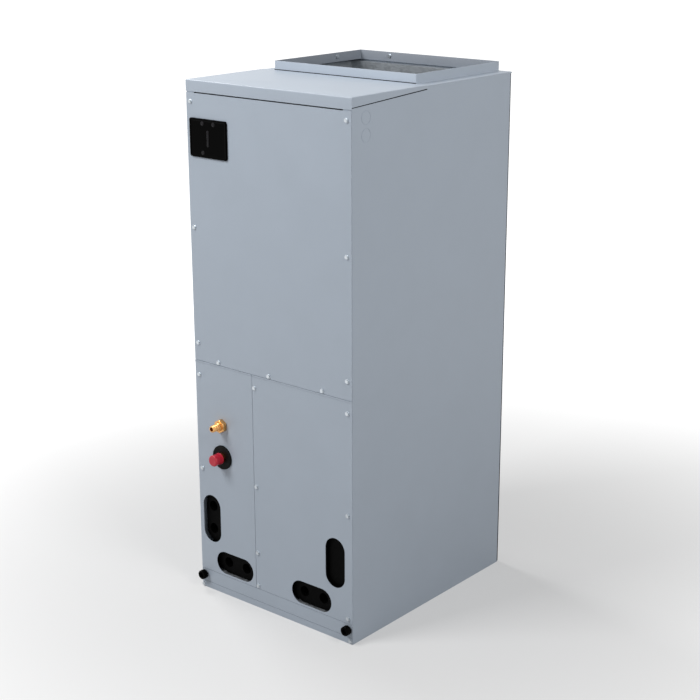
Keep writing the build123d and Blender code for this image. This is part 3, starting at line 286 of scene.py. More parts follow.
FINISH_OF_SLOT = {
    "cabinet_steel": CABINET_SHEET,
    "galvanised_steel": ZINC_SHEET,
    "screw_steel": ZINC_SCREW,
    "insulation": GLASS_FIBRE,
    "pan_plastic": PAN_PLASTIC,
    "black_plastic": GLOSS_PLASTIC,
    "red_plastic": RED_VINYL,
    "rubber": RUBBER,
    "copper": COPPER,
    "brass": BRASS,
    "aluminium_fins": FIN_STOCK,
    "wheel_steel": WHEEL_STRIP,
    "motor_steel": MOTOR_PAINT,
    "card": CARD,
    "filter_cloth": FILTER_CLOTH,
    "board": CIRCUIT_BOARD,
    "transformer_steel": LAMINATION,
}

NODES_OF_SLOT = {
    "cabinet_steel": (
        "side_panel_left side_panel_right back_panel top_front_cover top_rear_frame upper_panel"
        " coil_panel tube_panel filter_door base_frame"
    ),
    "galvanised_steel": (
        "mid_rail top_rail centre_post coil_shelf filter_rails blower_deck blower_scroll"
        " blower_side_left blower_side_right plenum_partition heater_blank_plate control_box"
        " motor_mount coil_end_plates coil_baffles breaker_shelf capacitor"
    ),
    "screw_steel": "cabinet_screws upper_panel_screws coil_panel_screws motor_shaft",
    "insulation": "liner_left liner_right liner_back liner_upper_panel liner_coil_panel",
    "pan_plastic": "drain_pan upright_drain_pan slot_blank circuit_breaker terminal_block",
    "black_plastic": "knob_left knob_right power_cover",
    "red_plastic": "suction_cap",
    "rubber": "suction_grommet",
    "copper": "suction_line liquid_line feeder_tubes return_bends",
    "brass": "liquid_fitting",
    "aluminium_fins": "coil_slab_left coil_slab_right",
    "wheel_steel": "blower_wheel",
    "motor_steel": "motor",
    "card": "filter_frame",
    "filter_cloth": "filter_medium",
    "board": "control_board",
    "transformer_steel": "transformer",
}


# Surfaces

# Points nearer than this are one point, in metres.
MERGE_DISTANCE = 1e-6
# Edges shorter than this carry no surface, in metres.
LEAST_EDGE = 1e-7
# Faces that meet at more than this keep a crisp edge.
SHARP_ANGLE = math.radians(35)
# The smallest corner radius of an inset outline.
LEAST_CORNER = 0.2


@dataclass(frozen=True)
class Grid:
    """A surface as rows and columns of points.

    Attributes:
        points: rows by columns by three, in millimetres.
        closed: whether the last column joins the first.
    """

    points: np.ndarray
    closed: bool = True

    def quads(self, start: int) -> np.ndarray:
        """Joins each point to its neighbours: the quad at a row and a column has the point there, the
        next one along the row, and the same two on the next row.

        Args:
            start: the number of the grid's first point in the mesh.

        Returns:
            Four point numbers for each quad.
        """
        rows, columns = self.points.shape[:2]
        row = np.arange(rows - 1)[:, None] * columns
        column = np.arange(columns if self.closed else columns - 1)[None, :]
        beside = (column + 1) % columns
        corners = (row + column, row + beside, row + columns + beside, row + columns + column)
        return np.stack(corners, -1).reshape(-1, 4) + start


def frame_along(direction: Place) -> np.ndarray:
    """Gives three unit vectors as rows: across, up and along, with along on the direction.

    Args:
        direction: any vector but zero.

    Returns:
        Three rows of three.
    """
    along = np.array(direction, float) / np.linalg.norm(direction)
    helper = np.array((0.0, 0.0, 1.0)) if abs(along[2]) < 0.9 else np.array((1.0, 0.0, 0.0))
    across = np.cross(helper, along)
    across /= np.linalg.norm(across)
    return np.stack((across, np.cross(along, across), along))


def turned(
    profile: np.ndarray,
    foot: Place,
    direction: Place,
    sides: int = 48,
    radius_at: RadiusRule | None = None,
) -> Grid:
    """Turns a profile round an axis. The point at height h and angle a lies on the axis at h, moved out
    by the profile's radius r along cos a across and sin a up; radius_at may give the radius from r, h
    and a instead, as a hexagon needs.

    Args:
        profile: rows of radius and height; a radius of zero closes an end.
        foot: where the axis starts.
        direction: which way the axis points.
        sides: columns round the axis.
        radius_at: a function of radius, height and angle arrays.

    Returns:
        The closed surface.
    """
    basis = frame_along(direction)
    angle = np.linspace(0, 2 * np.pi, sides, endpoint=False)[None, :]
    radius, height = profile[:, :1], profile[:, 1:2]
    radius = radius_at(radius, height, angle) if radius_at else radius + 0 * angle
    local = np.stack((radius * np.cos(angle), radius * np.sin(angle), height + 0 * angle), -1)
    return Grid(local @ basis + np.array(foot))


def rounded_rectangle(
    half_width: float, half_height: float, radius: float, count: int = 64
) -> np.ndarray:
    """A rectangle with round corners: at angle t, the corner's centre in that quarter plus the radius
    along cos t and sin t, so the straight sides are the steps between quarters.

    Args:
        half_width: half its width.
        half_height: half its height.
        radius: its corner radius.
        count: how many points it has.

    Returns:
        The points, in order round the middle.
    """
    t = (np.arange(count) + 0.5) * 2 * np.pi / count
    x = np.sign(np.cos(t)) * (half_width - radius) + radius * np.cos(t)
    y = np.sign(np.sin(t)) * (half_height - radius) + radius * np.sin(t)
    return np.stack((x, y), -1)


def stacked(
    half_width: float,
    half_height: float,
    radius: float,
    steps: np.ndarray,
    centre: Place,
) -> Grid:
    """Stacks rounded rectangles towards the viewer, along minus Y. Each step is an inset and a height:
    the outline shrinks by the inset, its corner radius with it, and moves out by the height. The first
    and last outlines are drawn in to their middle, which closes the ends.

    Args:
        half_width: half the outline's size along X.
        half_height: half the outline's size along Z.
        radius: its corner radius.
        steps: rows of inset and height.
        centre: the middle of the outline at height zero.

    Returns:
        The closed surface.
    """
    rings = [
        rounded_rectangle(half_width - inset, half_height - inset, max(radius - inset, LEAST_CORNER))
        for inset, height in steps
    ]
    rings = np.stack([rings[0] * 0, *rings, rings[-1] * 0])
    heights = np.concatenate((steps[:1, 1], steps[:, 1], steps[-1:, 1]))
    points = np.empty((*rings.shape[:2], 3))
    points[..., 0] = centre[0] + rings[..., 0]
    points[..., 1] = centre[1] - heights[:, None]
    points[..., 2] = centre[2] + rings[..., 1]
    return Grid(points)


def rounded_edge(radius: float, top: float, steps: int = 6) -> np.ndarray:
    """Rows of inset and height up a wall that ends in a quarter round: inset r(1 - cos a) and height
    top - r + r sin a, for a from 0 to a right angle.

    Args:
        radius: the round's radius.
        top: the height that the round ends at.
        steps: how many rows the round has.

    Returns:
        The rows.
    """
    angle = np.linspace(0, np.pi / 2, steps)
    return np.stack((radius * (1 - np.cos(angle)), top - radius + radius * np.sin(angle)), -1)


def make_piece(
    name: str, grids: list[Grid], finish: Finish, body: str, stands_for: tuple[str, ...]
) -> bpy.types.Object:
    """Puts grids into one mesh, closes their poles, points their faces outwards and dresses them.

    Args:
        name: the piece's name.
        grids: its surfaces, in millimetres.
        finish: its finish.
        body: the moving body that it rides on.
        stands_for: the nodes that it replaces.

    Returns:
        The new object.
    """
    points = np.concatenate([grid.points.reshape(-1, 3) for grid in grids]) * MM
    starts = np.cumsum([0] + [grid.points.shape[0] * grid.points.shape[1] for grid in grids])
    quads = np.concatenate([grid.quads(start) for grid, start in zip(grids, starts)])
    mesh = bpy.data.meshes.new(name)
    mesh.from_pydata(points.tolist(), [], quads.tolist())
    work = bmesh.new()
    work.from_mesh(mesh)
    bmesh.ops.remove_doubles(work, verts=work.verts, dist=MERGE_DISTANCE)
    bmesh.ops.dissolve_degenerate(work, edges=work.edges, dist=LEAST_EDGE)
    bmesh.ops.recalc_face_normals(work, faces=work.faces)
    work.to_mesh(mesh)
    work.free()
    mesh.shade_smooth()
    mesh.set_sharp_from_angle(angle=SHARP_ANGLE)
    piece = bpy.data.objects.new(name, mesh)
    bpy.context.scene.collection.objects.link(piece)
    mesh.materials.append(finish.material())
    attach(piece, body)
    if stands_for:
        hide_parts(*stands_for)
    LOG.info("%s: %d faces on %s", name, len(mesh.polygons), body)
    return piece


def span_of(node: str) -> tuple[np.ndarray, np.ndarray]:
    """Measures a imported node's box.

    Args:
        node: the node's name.

    Returns:
        Its lowest and highest corners, in millimetres.
    """
    low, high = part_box(node)
    return np.array(low) / MM, np.array(high) / MM


def panel_front() -> float:
    """The level along Y of the upper panel's front face, which the fittings are set from."""
    return span_of("upper_panel")[0][1]


# Sub-assemblies


class Cabinet:
    """The sheet metal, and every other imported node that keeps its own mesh."""

    def dress(self) -> None:
        """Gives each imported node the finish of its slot."""
        for slot, names in NODES_OF_SLOT.items():
            material = FINISH_OF_SLOT[slot].material()
            for name in names.split():
                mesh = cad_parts[name].data
                mesh.materials.clear()
                mesh.materials.append(material)
        LOG.info("dressed %d packed nodes", len(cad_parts))


@dataclass(frozen=True)
class TopSheets:
    """The folded lid over the front and the rear frame with its bent-up supply collar.

    Both are closed loops of rounded rectangles, one loop for each row of the folded section.
    """

    sheet: float = 1.0
    bend: float = 2.4
    bend_steps: int = 7
    lid_front_drop: float = 24.0
    lid_side_drop_front: float = 20.0
    lid_side_drop_rear: float = 7.0
    corner: float = 1.6
    loop_points: int = 32
    hem: float = 2.1
    hem_proud: float = 0.4
    hem_steps: int = 9
    collar_half: float = 192.25
    collar_front_y: float = -12.7
    collar_back_y: float = 278.2
    collar_bend: float = 1.6
    collar_steps: int = 5
    lip: float = 0.5

    def loop(
        self, low: np.ndarray, high: np.ndarray, inset: float, level: np.ndarray | float
    ) -> np.ndarray:
        """One rounded rectangle seen from above: the box from low to high, drawn in by the inset, at a
        level that may differ from point to point.

        Args:
            low: the lowest corner of the box in plan.
            high: the highest corner of the box in plan.
            inset: how far inside the box the loop runs.
            level: its height.

        Returns:
            The loop's points.
        """
        half = (high[:2] - low[:2]) / 2 - inset
        middle = (high[:2] + low[:2]) / 2
        plan = rounded_rectangle(half[0], half[1], self.corner, self.loop_points) + middle
        return np.concatenate((plan, (level + 0 * plan[:, 0])[:, None]), 1)

    def lid(self) -> None:
        """Makes the lid. From the middle of the top the section runs out flat, round the bend, down to
        the flange's edge, over its thickness and back up inside. The flange is deepest at the front,
        tapers along the sides and ends in a plain edge at the rear."""
        low, high = span_of("top_front_cover")
        plan = self.loop(low, high, 0.0, 0.0)
        share = (plan[:, 1] - low[1]) / (high[1] - low[1])
        side = self.lid_side_drop_front + (self.lid_side_drop_rear - self.lid_side_drop_front) * share
        drop = np.where(plan[:, 1] < low[1] + self.corner / 3, self.lid_front_drop, side)
        drop = np.where(plan[:, 1] > high[1] - self.corner / 3, self.bend, drop)
        rows = [
            self.loop(low, high, self.bend * (1 - math.sin(a)), high[2] - self.bend * (1 - math.cos(a)))
            for a in np.linspace(0, np.pi / 2, self.bend_steps)
        ]
        inside = self.bend + self.sheet
        rows += [
            self.loop(low, high, 0.0, high[2] - drop),
            self.loop(low, high, self.sheet, high[2] - drop),
            self.loop(low, high, self.sheet, high[2] - np.minimum(inside, drop)),
            self.loop(low, high, inside, high[2] - self.sheet),
        ]
        top = np.stack(rows)
        poles = [top[i : i + 1].mean(1, keepdims=True) + 0 * top[:1] for i in (0, -1)]
        grid = Grid(np.concatenate((poles[0], top, poles[1])))
        make_piece("folded_lid", [grid], CABINET_SHEET, "root", ("top_front_cover",))

    def rear_frame(self) -> None:
        """Makes the rear frame. The section starts under the rolled hem at the outer edge, runs over it
        and in across the plate, round the bend and up the collar, over the collar's lip, down inside
        and back out under the plate. The collar's inner face shows the sheet's backer coat, darkened
        further to paint the shade inside the collar."""
        low, high = span_of("top_rear_frame")
        plate_top = low[2] + self.sheet
        inner_low = np.array((-self.collar_half, self.collar_front_y))
        inner_high = np.array((self.collar_half, self.collar_back_y))
        rows = []
        for a in np.linspace(-np.pi / 2, np.pi / 2, self.hem_steps):
            inset = self.hem - self.hem_proud - self.hem * math.cos(a)
            rows.append(self.loop(low, high, inset, plate_top - self.hem * (1 - math.sin(a))))
        for a in np.linspace(0, np.pi / 2, self.collar_steps):
            outset = self.collar_bend * (1 - math.sin(a))
            level = plate_top + self.collar_bend * (1 - math.cos(a))
            rows.append(self.loop(inner_low, inner_high, -outset, level))
        for a in np.linspace(0, np.pi, self.collar_steps):
            level = high[2] - self.lip * (1 - math.sin(a))
            rows.append(self.loop(inner_low, inner_high, self.lip * (1 - math.cos(a)), level))
        rows += [
            self.loop(inner_low, inner_high, self.sheet, low[2]),
            self.loop(low, high, 2 * self.hem, low[2]),
            self.loop(low, high, self.hem - self.hem_proud, plate_top - 2 * self.hem),
        ]
        section = Grid(np.stack(rows))
        piece = make_piece(
            "collar_frame", [section], CABINET_SHEET, "root", ("top_rear_frame",)
        )
        # The backer coat on the collar's inner faces is darkened to paint the shade inside the collar.
        piece.data.materials.append(BACKER_COAT_AND_PAINTED_SHADE.material())
        half_sheet = self.sheet / 2
        for face in piece.data.polygons:
            x, y, _ = face.center / MM
            within = self.collar_front_y + half_sheet < y < self.collar_back_y - half_sheet
            face.material_index = int(within and abs(x) < self.collar_half - half_sheet)

    def build(self) -> None:
        """Makes the lid and the rear frame."""
        self.lid()
        self.rear_frame()


@dataclass(frozen=True)
class ShadowLineStrips:
    """Thin dark strips that paint the shadow lines along the collar's foot, under the lid's side
    flanges and down the rear edges.

    Each strip is a round bead, laid most of the way into the joint.
    """

    radius: float = 0.85
    sink: float = 0.7
    flange_front: float = 20.8
    flange_rear: float = 8.6
    flange_front_margin: float = 1.5
    flange_rear_margin: float = 1.0
    rear_radius_foot: float = 1.0
    rear_radius_head: float = 0.6
    rear_margin: float = 3.0
    sides: int = 12

    def bead(self, start: Place, end: Place, start_radius: float, end_radius: float) -> Grid:
        """One bead from start to end, which may grow thinner on its way.

        Args:
            start: the middle of its first end.
            end: the middle of its last end.
            start_radius: its radius at the first end.
            end_radius: its radius at the last end.

        Returns:
            The closed surface.
        """
        direction = np.array(end) - np.array(start)
        length = float(np.linalg.norm(direction))
        profile = np.array(((0.0, 0.0), (start_radius, 0.0), (end_radius, length), (0.0, length)))
        return turned(profile, start, tuple(direction), self.sides)

    def build(self) -> None:
        """Makes the five beads as one piece."""
        lid_low, lid_high = span_of("top_front_cover")
        _, side_high = span_of("side_panel_right")
        collar = TopSheets()
        proud = self.radius - self.sink
        half, front, level = collar.collar_half, collar.collar_front_y - proud, lid_high[2] + proud
        thin = (self.radius, self.radius)
        beads = [self.bead((-half, front, level), (half, front, level), *thin)]
        flange_start_y = lid_low[1] + self.flange_front_margin
        flange_end_y = lid_high[1] - self.flange_rear_margin
        rear_foot, rear_head = self.rear_margin, side_high[2] - self.rear_margin
        for side in (-1, 1):
            beside, edge = side * (side_high[0] + proud), side * side_high[0]
            beads += [
                self.bead(
                    (beside, flange_start_y, lid_high[2] - self.flange_front),
                    (beside, flange_end_y, lid_high[2] - self.flange_rear),
                    *thin,
                ),
                self.bead(
                    (edge, side_high[1], rear_foot),
                    (edge, side_high[1], rear_head),
                    self.rear_radius_foot,
                    self.rear_radius_head,
                ),
            ]
        # These dark beads paint the shadow lines along the joints.
        make_piece("painted_shadow_line_strips", beads, PAINTED_SHADOW_LINE, "root", ())


@dataclass(frozen=True)
class PowerCover:
    """The moulded cover over the power disconnect, with its pull rib and three round pads."""

    corner: float = 5.0
    edge: float = 1.2
    rim: float = 4.0
    rim_flat_margin: float = 0.6
    rim_shoulder: float = 0.2
    rim_shoulder_drop: float = 0.3
    rim_foot: float = 1.2
    field_recess: float = 1.2
    rib_half_width: float = 3.0
    rib_half_height: float = 17.0
    rib_corner: float = 2.4
    rib_proud: float = 1.6
    pad_radius: float = 4.5
    pad_proud: float = 0.9
    pad_across: float = 0.3
    pad_up: float = 0.76
    pad_rows: int = 8
    pad_sides: int = 32
    root: float = 0.5
    plug_lip: float = 4.0
    plug_corner: float = 3.0
    plug_overlap: float = 0.2

    def dome(self) -> np.ndarray:
        """The profile of a pad: a quarter ellipse, carried down to its root in the field."""
        angle = np.linspace(np.pi / 2, 0, self.pad_rows)
        cap = np.stack((self.pad_radius * np.cos(angle), self.pad_proud * np.sin(angle)), -1)
        return np.concatenate((cap, ((self.pad_radius, -self.root), (0.0, -self.root))))

    def build(self) -> None:
        """Makes the cover's plate and plug, and the rib and pads on it, whose lighter plastic paints their
        highlights and glints.
        """
        low, high = span_of("power_cover")
        middle = (low + high) / 2
        panel_y = panel_front()
        half_width, half_height = (high[0] - low[0]) / 2, (high[2] - low[2]) / 2
        proud = panel_y - low[1] - max(0.0, self.rib_proud - self.field_recess)
        rim = np.array(
            (
                (self.rim - self.rim_flat_margin, proud),
                (self.rim + self.rim_shoulder, proud - self.rim_shoulder_drop),
                (self.rim + self.rim_foot, proud - self.field_recess),
            )
        )
        steps = np.concatenate((((0.0, 0.0),), rounded_edge(self.edge, proud), rim))
        seat = (middle[0], panel_y, middle[2])
        plate = stacked(half_width, half_height, self.corner, steps, seat)
        plug_steps = np.array(((0.0, panel_y - high[1]), (0.0, self.plug_overlap)))
        plug_half = (half_width - self.plug_lip, half_height - self.plug_lip)
        plug = stacked(*plug_half, self.plug_corner, plug_steps, seat)
        field = (middle[0], panel_y - proud + self.field_recess, middle[2])
        rib_steps = np.concatenate((((0.0, -self.root),), rounded_edge(self.edge, self.rib_proud)))
        rib = stacked(self.rib_half_width, self.rib_half_height, self.rib_corner, rib_steps, field)
        far_x, far_z = self.pad_across * half_width, self.pad_up * half_height
        pads = [
            turned(self.dome(), (field[0] + x, field[1], field[2] + z), FORWARD, self.pad_sides)
            for x, z in ((-far_x, far_z), (far_x, far_z), (-far_x, -far_z))
        ]
        rides, slot = "disconnect_cover", "black_plastic"
        make_piece("moulded_power_cover", [plate, plug], GLOSS_PLASTIC, rides, ("power_cover",))
        # The rib and pads are lighter than the cover to paint their highlights and glints.
        make_piece("cover_rib_and_pads_painted_glints", [rib, *pads], PAINTED_GLINT_PLASTIC, rides, ())


@dataclass(frozen=True)
class FlareFitting:
    """The brass fitting of the liquid line: a hexagon, a shoulder and a threaded stub."""

    hex_across: float = 27.0
    hex_height: float = 11.0
    hex_chamfer: float = 1.4
    hex_face_margin: float = 0.4
    hex_gap: float = 0.2
    hex_sides: int = 96
    shoulder_radius: float = 10.0
    shoulder_length: float = 6.0
    shoulder_chamfer: float = 1.0
    stub_radius: float = 7.5
    stub_overlap: float = 0.5
    thread_pitch: float = 1.6
    thread_depth: float = 0.7
    thread_runout: float = 1.0
    thread_rows: int = 41
    mouth_chamfer: float = 1.2
    bore_radius: float = 4.8
    tail_radius: float = 7.0
    tail_overlap: float = 0.4
    tail_sides: int = 32

    def hexagon(self, radius: np.ndarray, height: np.ndarray, angle: np.ndarray) -> np.ndarray:
        """The smaller of the profile's radius and the distance to a hexagon's side, which is half the
        size across flats over the cosine of the angle from the nearest flat's middle.

        Args:
            radius: the profile's radius at each row.
            height: the profile's height at each row, which changes nothing here.
            angle: the angle at each column.

        Returns:
            The radius at each row and column.
        """
        sixth = np.pi / 3
        from_flat = (angle + sixth / 2) % sixth - sixth / 2
        return np.minimum(radius + 0 * angle, self.hex_across / 2 / np.cos(from_flat))

    def build(self) -> None:
        """Makes the fitting with an open bore, and the tail that goes through the panel."""
        low, high = span_of("liquid_fitting")
        middle = (low + high) / 2
        panel_y = panel_front()
        foot = (middle[0], panel_y, middle[2])
        end, behind = panel_y - low[1], panel_y - high[1]
        corner, face = self.hex_across / math.sqrt(3), self.hex_across / 2 - self.hex_face_margin
        top = self.hex_height
        hexagon = np.array(
            (
                (0.0, self.hex_gap),
                (face, self.hex_gap),
                (corner, self.hex_chamfer),
                (corner, top - self.hex_chamfer),
                (face, top),
                (0.0, top),
            )
        )
        shoulder_top = top + self.shoulder_length
        shoulder = np.array(
            (
                (0.0, top - self.shoulder_chamfer),
                (self.shoulder_radius, top - self.shoulder_chamfer),
                (self.shoulder_radius, shoulder_top - self.shoulder_chamfer),
                (self.shoulder_radius - self.shoulder_chamfer, shoulder_top),
                (0.0, shoulder_top),
            )
        )
        start = shoulder_top - self.stub_overlap
        turns = np.linspace(start, end - self.thread_runout, self.thread_rows)
        wave = self.thread_depth / 2 * (1 - np.cos(2 * np.pi * (turns - start) / self.thread_pitch))
        thread = np.stack((self.stub_radius - wave, turns), -1)
        mouth = np.array(
            (
                (self.stub_radius - self.mouth_chamfer, end),
                (self.bore_radius, end),
                (self.bore_radius, top),
                (0.0, top),
            )
        )
        stub = np.concatenate((((0.0, start),), thread, mouth))
        tail = np.array(
            (
                (0.0, behind),
                (self.tail_radius, behind),
                (self.tail_radius, self.tail_overlap),
                (0.0, self.tail_overlap),
            )
        )
        grids = [
            turned(hexagon, foot, FORWARD, self.hex_sides, self.hexagon),
            turned(shoulder, foot, FORWARD),
            turned(stub, foot, FORWARD),
            turned(tail, foot, FORWARD, self.tail_sides),
        ]
        make_piece("flare_fitting", grids, BRASS, "root", ("liquid_fitting",))


@dataclass(frozen=True)
class Grommet:
    """The rubber grommet round the suction line: a turned ring with a soft outer lip, a neck in the
    panel's hole and a dished face round the tube.

    Attributes:
        dish: rows of radius past the hole and depth below the face.
    """

    hole: float = 11.3
    lip_round: float = 2.4
    lip_steps: int = 6
    behind_inset: float = 2.5
    neck_inset: float = 5.0
    sheet: float = 1.0
    seat_gap: float = 0.05
    dish: tuple[tuple[float, float], ...] = ((7.0, 0.6), (4.0, 1.4), (1.0, 1.2), (0.0, 1.6))
    sides: int = 64

    def build(self) -> None:
        """Makes the grommet."""
        low, high = span_of("suction_grommet")
        middle = (low + high) / 2
        panel_y = span_of("tube_panel")[1][1] - self.sheet
        outer = (high[0] - low[0]) / 2
        reach, behind = panel_y - low[1], panel_y - high[1]
        back = np.array(
            (
                (self.hole, behind),
                (outer - self.behind_inset, behind),
                (outer - self.behind_inset, -self.sheet),
                (outer - self.neck_inset, -self.sheet),
                (outer - self.neck_inset, self.seat_gap),
                (outer, self.seat_gap),
            )
        )
        angle = np.linspace(0, np.pi / 2, self.lip_steps)
        lip = self.lip_round * (np.stack((np.cos(angle), np.sin(angle)), -1) - 1) + (outer, reach)
        dish = np.array([(self.hole + past, reach - depth) for past, depth in self.dish])
        ring = np.concatenate((back, lip, dish, ((self.hole, behind),)))
        grid = turned(ring, (middle[0], panel_y, middle[2]), FORWARD, self.sides)
        make_piece("tube_grommet", [grid], RUBBER, "root", ("suction_grommet",))


@dataclass(frozen=True)
class TransitCap:
    """The red cap on the suction stub: a band at its mouth, a soft end with a shallow dimple, and a
    hollow for the tube."""

    wall: float = 1.5
    end_wall: float = 1.6
    end_round: float = 3.0
    end_steps: int = 8
    mouth_inset: float = 0.4
    band_start: float = 0.5
    band_end: float = 2.2
    band_foot: float = 2.8
    band_proud: float = 0.5
    side_end: float = 6.0
    dimple_inset: float = 6.0
    dimple_edge: float = 0.2
    dimple_depth: float = 0.9
    sides: int = 64

    def build(self) -> None:
        """Makes the cap."""
        low, high = span_of("suction_cap")
        middle = (low + high) / 2
        radius, length = (high[0] - low[0]) / 2, high[1] - low[1]
        inside, side = radius - self.wall, radius - self.band_proud
        hollow = (
            (0.0, length - self.end_wall),
            (inside, length - self.end_wall),
            (inside, 0.0),
            (radius - self.mouth_inset, 0.0),
        )
        band = (
            (radius, self.band_start),
            (radius, self.band_end),
            (side, self.band_foot),
            (side, length - self.side_end),
        )
        angle = np.linspace(0, np.pi / 2, self.end_steps)
        end = self.end_round * (np.stack((np.cos(angle), np.sin(angle)), -1) - 1) + (radius, length)
        dimple = (
            (radius - self.dimple_inset, length - self.dimple_edge),
            (0.0, length - self.dimple_depth),
        )
        profile = np.concatenate((hollow, band, end, dimple))
        grid = turned(profile, (middle[0], high[1], middle[2]), FORWARD, self.sides)
        make_piece("transit_cap", [grid], RED_VINYL, "line_cap", ("suction_cap",))


@dataclass(frozen=True)
class FinPack:
    """The two leaning slabs of the coil, each one a stack of rippled fins.

    The real fins stand about 1.8 mm apart, which no picture of the whole cabinet can show, so they are
    drawn at the pitch below.
    """

    foot_spread: float = 148.0
    foot_level: float = 62.0
    head_spread: float = 32.0
    head_level: float = 496.0
    thickness: float = 44.0
    pitch: float = 3.4
    fin: float = 0.5
    ripple: float = 0.5
    ripples: int = 5
    columns: int = 21

    def sheet(self, side: int) -> np.ndarray:
        """One fin at Y zero. Across it, u runs from one air face to the other, and the sheet waves by
        the ripple times sin of u's share of the way round. The ring round the fin is carried from its
        foot to its head, and each end closes on its middle.

        Args:
            side: minus one for the left slab, one for the right.

        Returns:
            Four rows of points: closing end, foot, head, closing end.
        """
        foot = np.array((side * self.foot_spread, self.foot_level))
        head = np.array((side * self.head_spread, self.head_level))
        along = (head - foot) / np.linalg.norm(head - foot)
        across = np.array((along[1], -along[0]))
        u = np.linspace(-0.5, 0.5, self.columns)
        wave = self.ripple * np.sin(2 * np.pi * self.ripples * u)
        ring_u = np.concatenate((u, u[::-1])) * self.thickness
        ring_y = np.concatenate((wave - self.fin / 2, wave[::-1] + self.fin / 2))
        flat = np.stack((foot, head))[:, None, :] + ring_u[:, None] * across
        points = np.stack((flat[..., 0], ring_y + 0 * flat[..., 0], flat[..., 1]), -1)
        closes = points.mean(1, keepdims=True) + 0 * points
        return np.concatenate((closes[:1], points, closes[1:]))

    def build(self) -> None:
        """Makes each slab: every fin is the same sheet moved on by the pitch."""
        low, high = span_of("coil_slab_right")
        depth = high[1] - low[1]
        count = int((depth - self.fin) / self.pitch)
        start = low[1] + (depth - (count - 1) * self.pitch) / 2
        for side, hand in ((-1, "left"), (1, "right")):
            fin = self.sheet(side)
            grids = [Grid(fin + (0, start + i * self.pitch, 0)) for i in range(count)]
            make_piece(
                f"fins_{hand}", grids, FIN_STOCK, "root", (f"coil_slab_{hand}",)
            )


# Studio


@dataclass(frozen=True)
class Lamp:
    """One square soft lamp.

    Attributes:
        name: the lamp's name.
        place: where it hangs, in metres.
        aim: where it points, in metres.
        size: its side, in metres.
        power: its power, in watts.
    """

    name: str
    place: Place
    aim: Place
    size: float
    power: float

    def hang(self) -> None:
        """Puts the lamp in the scene."""
        data = bpy.data.lights.new(self.name, "AREA")
        data.size, data.energy = self.size, self.power
        lamp = bpy.data.objects.new(self.name, data)
        lamp.location = self.place
        lamp.rotation_mode = "QUATERNION"
        lamp.rotation_quaternion = (Vector(self.aim) - Vector(self.place)).to_track_quat("-Z", "Y")
        bpy.context.scene.collection.objects.link(lamp)


# The key lights the front from the left, and no lamp stands where the lid would mirror it.
LAMPS = (
    Lamp("key", (-1.1, -2.3, 2.9), (0, 0, 1.2), 1.3, 72),
    Lamp("left", (-2.7, 0.5, 3.0), (0, 0, 0.3), 1.1, 50),
    Lamp("side", (3.0, -0.6, 2.7), (0, 0, 1.1), 1.4, 50),
)


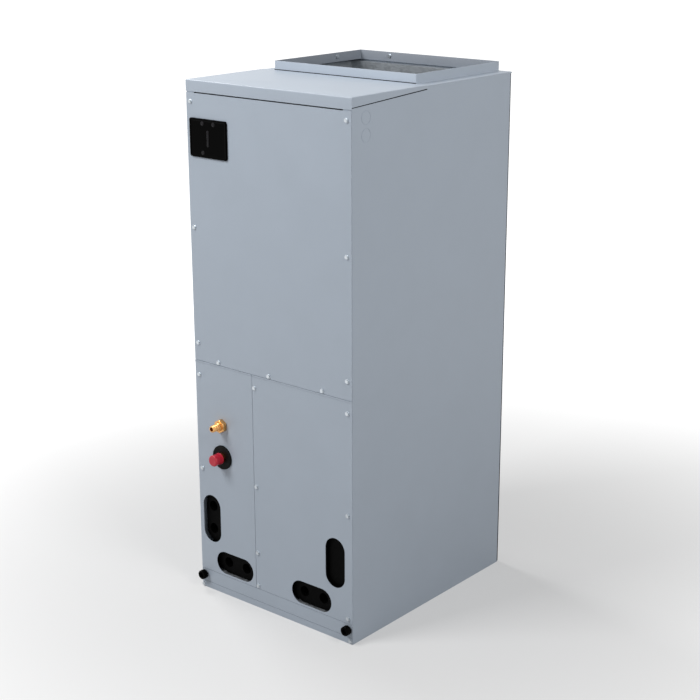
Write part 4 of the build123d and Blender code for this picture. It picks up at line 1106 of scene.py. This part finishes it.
@dataclass(frozen=True)
class Studio:
    """Floor, lights, world and camera.

    The camera is the photograph's: it looks down from the front right. Its place is given by the angle
    round the cabinet and above the floor, its distance, and how far the picture's middle is off the
    cabinet's axis.
    """

    azimuth: float = 40.07
    elevation: float = 17.23
    roll: float = -0.17
    distance: float = 3326.0
    shift_right: float = -5.4
    aim_height: float = 540.2
    cabinet_middle_y: float = 16.5
    focal_pixels: float = 1504.0
    picture_pixels: float = 700.0
    sensor: float = 36.0
    floor_reach: float = 40.0
    floor_grey: float = 0.44
    fade_start: float = 0.4
    fade_end: float = 2.3
    near_glow: float = 0.3
    world_fill: float = 0.32

    def camera(self) -> None:
        """Places the camera: back is the unit vector from the aim to the camera, and right is level."""
        azimuth, elevation = math.radians(self.azimuth), math.radians(self.elevation)
        back = Vector(
            (
                math.sin(azimuth) * math.cos(elevation),
                -math.cos(azimuth) * math.cos(elevation),
                math.sin(elevation),
            )
        )
        right = Vector((math.cos(azimuth), math.sin(azimuth), 0))
        up = back.cross(right)
        aim = right * self.shift_right + Vector((0, self.cabinet_middle_y, self.aim_height))
        turn = Matrix((right, up, back)).transposed() @ Matrix.Rotation(math.radians(self.roll), 3, "Z")
        data = bpy.data.cameras.new("camera")
        data.sensor_width = self.sensor
        data.lens = self.sensor * self.focal_pixels / self.picture_pixels
        camera = bpy.data.objects.new("camera", data)
        camera.matrix_world = Matrix.Translation((aim + back * self.distance) * MM) @ turn.to_4x4()
        bpy.context.scene.collection.objects.link(camera)
        bpy.context.scene.camera = camera

    def floor_material(self) -> bpy.types.Material:
        """Makes the floor's matte grey, with a glow that only the camera and gloss see, and that grows
        with the distance from the cabinet."""
        material = bpy.data.materials.new("white_studio_floor")
        material.use_nodes = True
        tree = material.node_tree
        tree.nodes.clear()
        path = add_node(tree, "ShaderNodeLightPath").outputs
        seen = either(tree, path["Is Camera Ray"], path["Is Glossy Ray"])
        place = add_node(tree, "ShaderNodeTexCoord").outputs["Object"]
        far = add_node(tree, "ShaderNodeVectorMath", {"operation": "LENGTH"}, {0: place}).outputs["Value"]
        fade = add_node(
            tree,
            "ShaderNodeMapRange",
            {
                "interpolation_type": "SMOOTHSTEP",
                "From Min": self.fade_start,
                "From Max": self.fade_end,
                "To Min": self.near_glow,
                "To Max": 1.0,
            },
            {"Value": far},
        ).outputs["Result"]
        matte = add_node(tree, "ShaderNodeBsdfDiffuse", {"Color": (*[self.floor_grey] * 3, 1)})
        strength = add_node(tree, "ShaderNodeMath", {"operation": "MULTIPLY"}, {0: seen, 1: fade})
        glow = add_node(tree, "ShaderNodeEmission", links={"Strength": strength.outputs[0]})
        both = add_node(tree, "ShaderNodeAddShader", links={0: matte.outputs[0], 1: glow.outputs[0]})
        add_node(tree, "ShaderNodeOutputMaterial", links={"Surface": both.outputs[0]})
        return material

    def floor(self) -> None:
        """Lays a plain pale floor, which runs into the white background and keeps the cabinet's
        shadow."""
        mesh = bpy.data.meshes.new("floor")
        reach = self.floor_reach
        corners = [(-reach, -reach, 0), (reach, -reach, 0), (reach, reach, 0), (-reach, reach, 0)]
        mesh.from_pydata(corners, [], [(0, 1, 2, 3)])
        mesh.materials.append(self.floor_material())
        floor = bpy.data.objects.new("floor", mesh)
        bpy.context.scene.collection.objects.link(floor)

    def world(self) -> None:
        """Fills the shadows softly, and shows white to the camera, to gloss and through clear parts."""
        world = bpy.data.worlds.new("studio")
        bpy.context.scene.world = world
        world.use_nodes = True
        tree = world.node_tree
        path = add_node(tree, "ShaderNodeLightPath").outputs
        seen = either(tree, path["Is Camera Ray"], path["Is Transmission Ray"])
        shiny = either(tree, seen, path["Is Glossy Ray"])
        strength = add_node(
            tree, "ShaderNodeMapRange", {"To Min": self.world_fill, "To Max": 1.0}, {"Value": shiny}
        ).outputs["Result"]
        tree.links.new(strength, tree.nodes["Background"].inputs["Strength"])
        tree.nodes["Background"].inputs["Color"].default_value = (1, 1, 1, 1)

    def build(self) -> None:
        """Sets up the whole studio."""
        self.camera()
        self.floor()
        self.world()
        for lamp in LAMPS:
            lamp.hang()
        bpy.context.scene.view_settings.view_transform = "Standard"


ASSEMBLIES = (TopSheets, ShadowLineStrips, PowerCover, FlareFitting, Grommet, TransitCap, FinPack, Studio)


def main() -> None:
    """Builds and dresses everything in order."""
    logging.basicConfig(level=logging.INFO, format="%(name)s: %(message)s")
    Cabinet().dress()
    for assembly in ASSEMBLIES:
        assembly().build()


if __name__ == "__main__":
    main()
